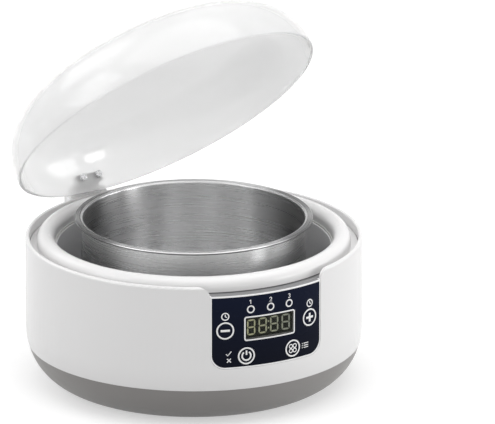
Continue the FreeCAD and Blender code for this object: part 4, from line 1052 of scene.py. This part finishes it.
def painted_rim_shade(tree, sectors):
    """1 on the bowl's wall, a painted reflection darker by sectors on the flat of the rim, and a painted
    shadow darkest round its edge.
    """
    parts = apart(tree, object_place(tree))
    top = spread(tree, sectors, *TOP_PAINTED_REFLECTION, *TOP_SECTORS)
    rim = spread(tree, parts["Z"], EDGE_PAINTED_SHADOW, top, *RIM_EDGE)
    return spread(tree, from_axis(tree, parts), 1.0, rim, *RIM_START)


# The steel's colour carries the painted reflection sectors and the painted rim shade.
satin_steel = spun_metal("satin_steel", (0.82, 0.82, 0.825), (0.88, 0.88, 0.885), (0.26, 0.30),
                         1200.0, 45.0, 0.008, dark=0.36, tone=painted_rim_shade)
bowl = turned("steel_bowl", bowl_profile, satin_steel)
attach(bowl, "bowl")
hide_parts("inner_bowl")


# Lid
# The clear domed lid, injection moulded in a slightly milky plastic, with a rounded edge.
# It stands open on its hinge at the back.

LID = 104.1
LID_WALL = 2.2
LID_FOOT = 89.9
LID_RISE = 55.0
SKIRT = 3.0
SIDE = 38.0
EDGE = LID_WALL / 2
LID_OPEN = math.radians(43.0)
ARC_STEPS = 24
# The arc of the crown runs on from the arc of the side without a corner.
reach, rise = LID - SIDE, LID_RISE - SKIRT
crown = (reach ** 2 + rise ** 2 - SIDE ** 2) / (2 * (rise - SIDE))
side_z = LID_FOOT + SKIRT
crown_z = LID_FOOT + LID_RISE - crown
meet = math.degrees(math.atan2(side_z - crown_z, reach))
lid_profile = bend(0, crown_z, crown, 90, meet, ARC_STEPS)
lid_profile += bend(reach, side_z, SIDE, meet, 0, ARC_STEPS)
lid_profile += bend(LID - EDGE, LID_FOOT + EDGE, EDGE, 0, -180)
lid_profile += bend(reach, side_z, SIDE - LID_WALL, 0, meet, ARC_STEPS)
lid_profile += bend(0, crown_z, crown - LID_WALL, meet, 90, ARC_STEPS)
hinge = next(j for j in frame["joints"] if j["name"] == "lid_hinge")
pivot = Matrix.Translation(Vector(hinge["pos_m"]))
opened = pivot @ Matrix.Rotation(LID_OPEN, 4, Vector(hinge["axis"])) @ pivot.inverted()


def milky_clear():
    """Clear plastic with a milky body and faint flow marks, under a smooth mirroring skin."""
    material, tree, shader = principled("milky_clear")
    shader.inputs["IOR"].default_value = 1.14
    shader.inputs["Transmission Weight"].default_value = 0.67
    shader.inputs["Coat Weight"].default_value = 0.6
    shader.inputs["Coat IOR"].default_value = 1.5
    shader.inputs["Coat Roughness"].default_value = 0.04
    group = tree.nodes.new("ShaderNodeGroup")
    group.node_tree = moulded_grain
    group.inputs["Flow Scale"].default_value = 14.0
    flow = spread(tree, group.outputs["Flow"], 0, 1)
    tree.links.new(blend_colours(tree, flow, (0.89, 0.89, 0.89), (0.95, 0.95, 0.95)),
                   shader.inputs["Base Color"])
    tree.links.new(spread(tree, group.outputs["Flow"], 0.05, 0.08), shader.inputs["Roughness"])
    return material


lid = turned("clear_lid", lid_profile, milky_clear(), opened)
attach(lid, "lid")
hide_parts("lid_dome")


# Lid arm
# A white arm screwed to the lid's back edge from inside. It reaches over the wall's lip to the
# hinge pin, and its knuckle turns with some friction, so that the lid stays where it is put.

soft_edges("lid_hinge_arm", "lid_arm", "lid", white_gloss, 0.5 * MM)
dress(bright_steel, "lid_arm_screws")


# Studio
# Pale floor, soft boxes above, at both sides, at the front right and behind, and the camera at
# the photograph's angle with a long lens.

FLOOR_RADIUS = 8.0
FLOOR_DROP = 0.2 * MM
floor_mesh = bpy.data.meshes.new("floor")
work = bmesh.new()
bmesh.ops.create_circle(work, cap_ends=True, segments=96, radius=FLOOR_RADIUS,
                        matrix=Matrix.Translation((0, 0, -FLOOR_DROP)))
work.to_mesh(floor_mesh)
work.free()
floor = bpy.data.objects.new("floor", floor_mesh)
bpy.context.scene.collection.objects.link(floor)


def seen_rays(tree):
    """1 for rays from the camera, from gloss or through clear pieces, else 0."""
    path = tree.nodes.new("ShaderNodeLightPath")
    seen = path.outputs["Is Camera Ray"]
    for label in ("Is Glossy Ray", "Is Transmission Ray"):
        seen = maths(tree, "MAXIMUM", seen, path.outputs[label])
    return seen


FLOOR_GLOW = (0.52, 0.75)
FLOOR_FADE = (0.4, 3.0)
floor_paint, tree, shader = principled("floor_white")
shader.inputs["Base Color"].default_value = (0.55, 0.55, 0.55, 1)
shader.inputs["Roughness"].default_value = 0.9
shader.inputs["Specular IOR Level"].default_value = 0.0
shader.inputs["Emission Color"].default_value = (1, 1, 1, 1)
glow = spread(tree, from_axis(tree, apart(tree, object_place(tree))), *FLOOR_GLOW, *FLOOR_FADE)
tree.links.new(maths(tree, "MULTIPLY", seen_rays(tree), glow), shader.inputs["Emission Strength"])
floor_mesh.materials.append(floor_paint)

SKY_LIGHT, SKY_SEEN = 0.56, 1.0
world = bpy.data.worlds.new("studio")
bpy.context.scene.world = world
world.use_nodes = True
tree = world.node_tree
sky = tree.nodes["Background"]
sky.inputs["Color"].default_value = (1, 1, 1, 1)
tree.links.new(spread(tree, seen_rays(tree), SKY_LIGHT, SKY_SEEN, 0, 1), sky.inputs["Strength"])


def soft_lamp(name, place, aim, size, watts):
    """A square soft box at a place, turned to a point."""
    data = bpy.data.lights.new(name, "AREA")
    data.size = size
    data.energy = watts
    lamp = bpy.data.objects.new(name, data)
    lamp.location = place
    lamp.rotation_mode = "QUATERNION"
    lamp.rotation_quaternion = (Vector(aim) - Vector(place)).to_track_quat("-Z", "Y")
    bpy.context.scene.collection.objects.link(lamp)


soft_lamp("top_box", (0.1, -0.2, 1.6), (0, 0, 0.08), 1.8, 16.0)
soft_lamp("right_box", (1.6, -0.55, 0.25), (0, 0, 0.05), 0.8, 6.5)
soft_lamp("front_box", (1.10, -1.28, 0.25), (0, 0, 0.05), 0.45, 4.0)
soft_lamp("left_box", (-1.5, 0.1, 1.0), (0, 0, 0.08), 1.0, 6.5)
soft_lamp("back_box", (-0.7, 1.3, 1.2), (0, 0, 0.15), 1.0, 5.0)

AZIMUTH, ELEVATION = math.radians(-27.1), math.radians(18.3)
DISTANCE = 9.0
PIXELS_PER_METRE = 1562.0
LIP_CENTRE = Vector((0, 0, LIP_TOP))
LIP_PIXEL = (193.9, 234.3)
IMAGE = (495, 424)
back = Vector((math.sin(AZIMUTH) * math.cos(ELEVATION), -math.cos(AZIMUTH) * math.cos(ELEVATION),
               math.sin(ELEVATION)))
turn = (-back).to_track_quat("-Z", "Y")
across = (IMAGE[0] / 2 - LIP_PIXEL[0]) / PIXELS_PER_METRE
above = (LIP_PIXEL[1] - IMAGE[1] / 2) / PIXELS_PER_METRE
camera_data = bpy.data.cameras.new("camera")
camera_data.sensor_width = 36.0
camera_data.lens = PIXELS_PER_METRE * DISTANCE * camera_data.sensor_width / IMAGE[0]
camera_data.clip_end = 50.0
camera = bpy.data.objects.new("camera", camera_data)
camera.rotation_mode = "QUATERNION"
camera.rotation_quaternion = turn
camera.location = LIP_CENTRE + turn @ Vector((across, above, 0)) + back * DISTANCE
bpy.context.scene.collection.objects.link(camera)
bpy.context.scene.camera = camera
bpy.context.scene.view_settings.view_transform = "Standard"
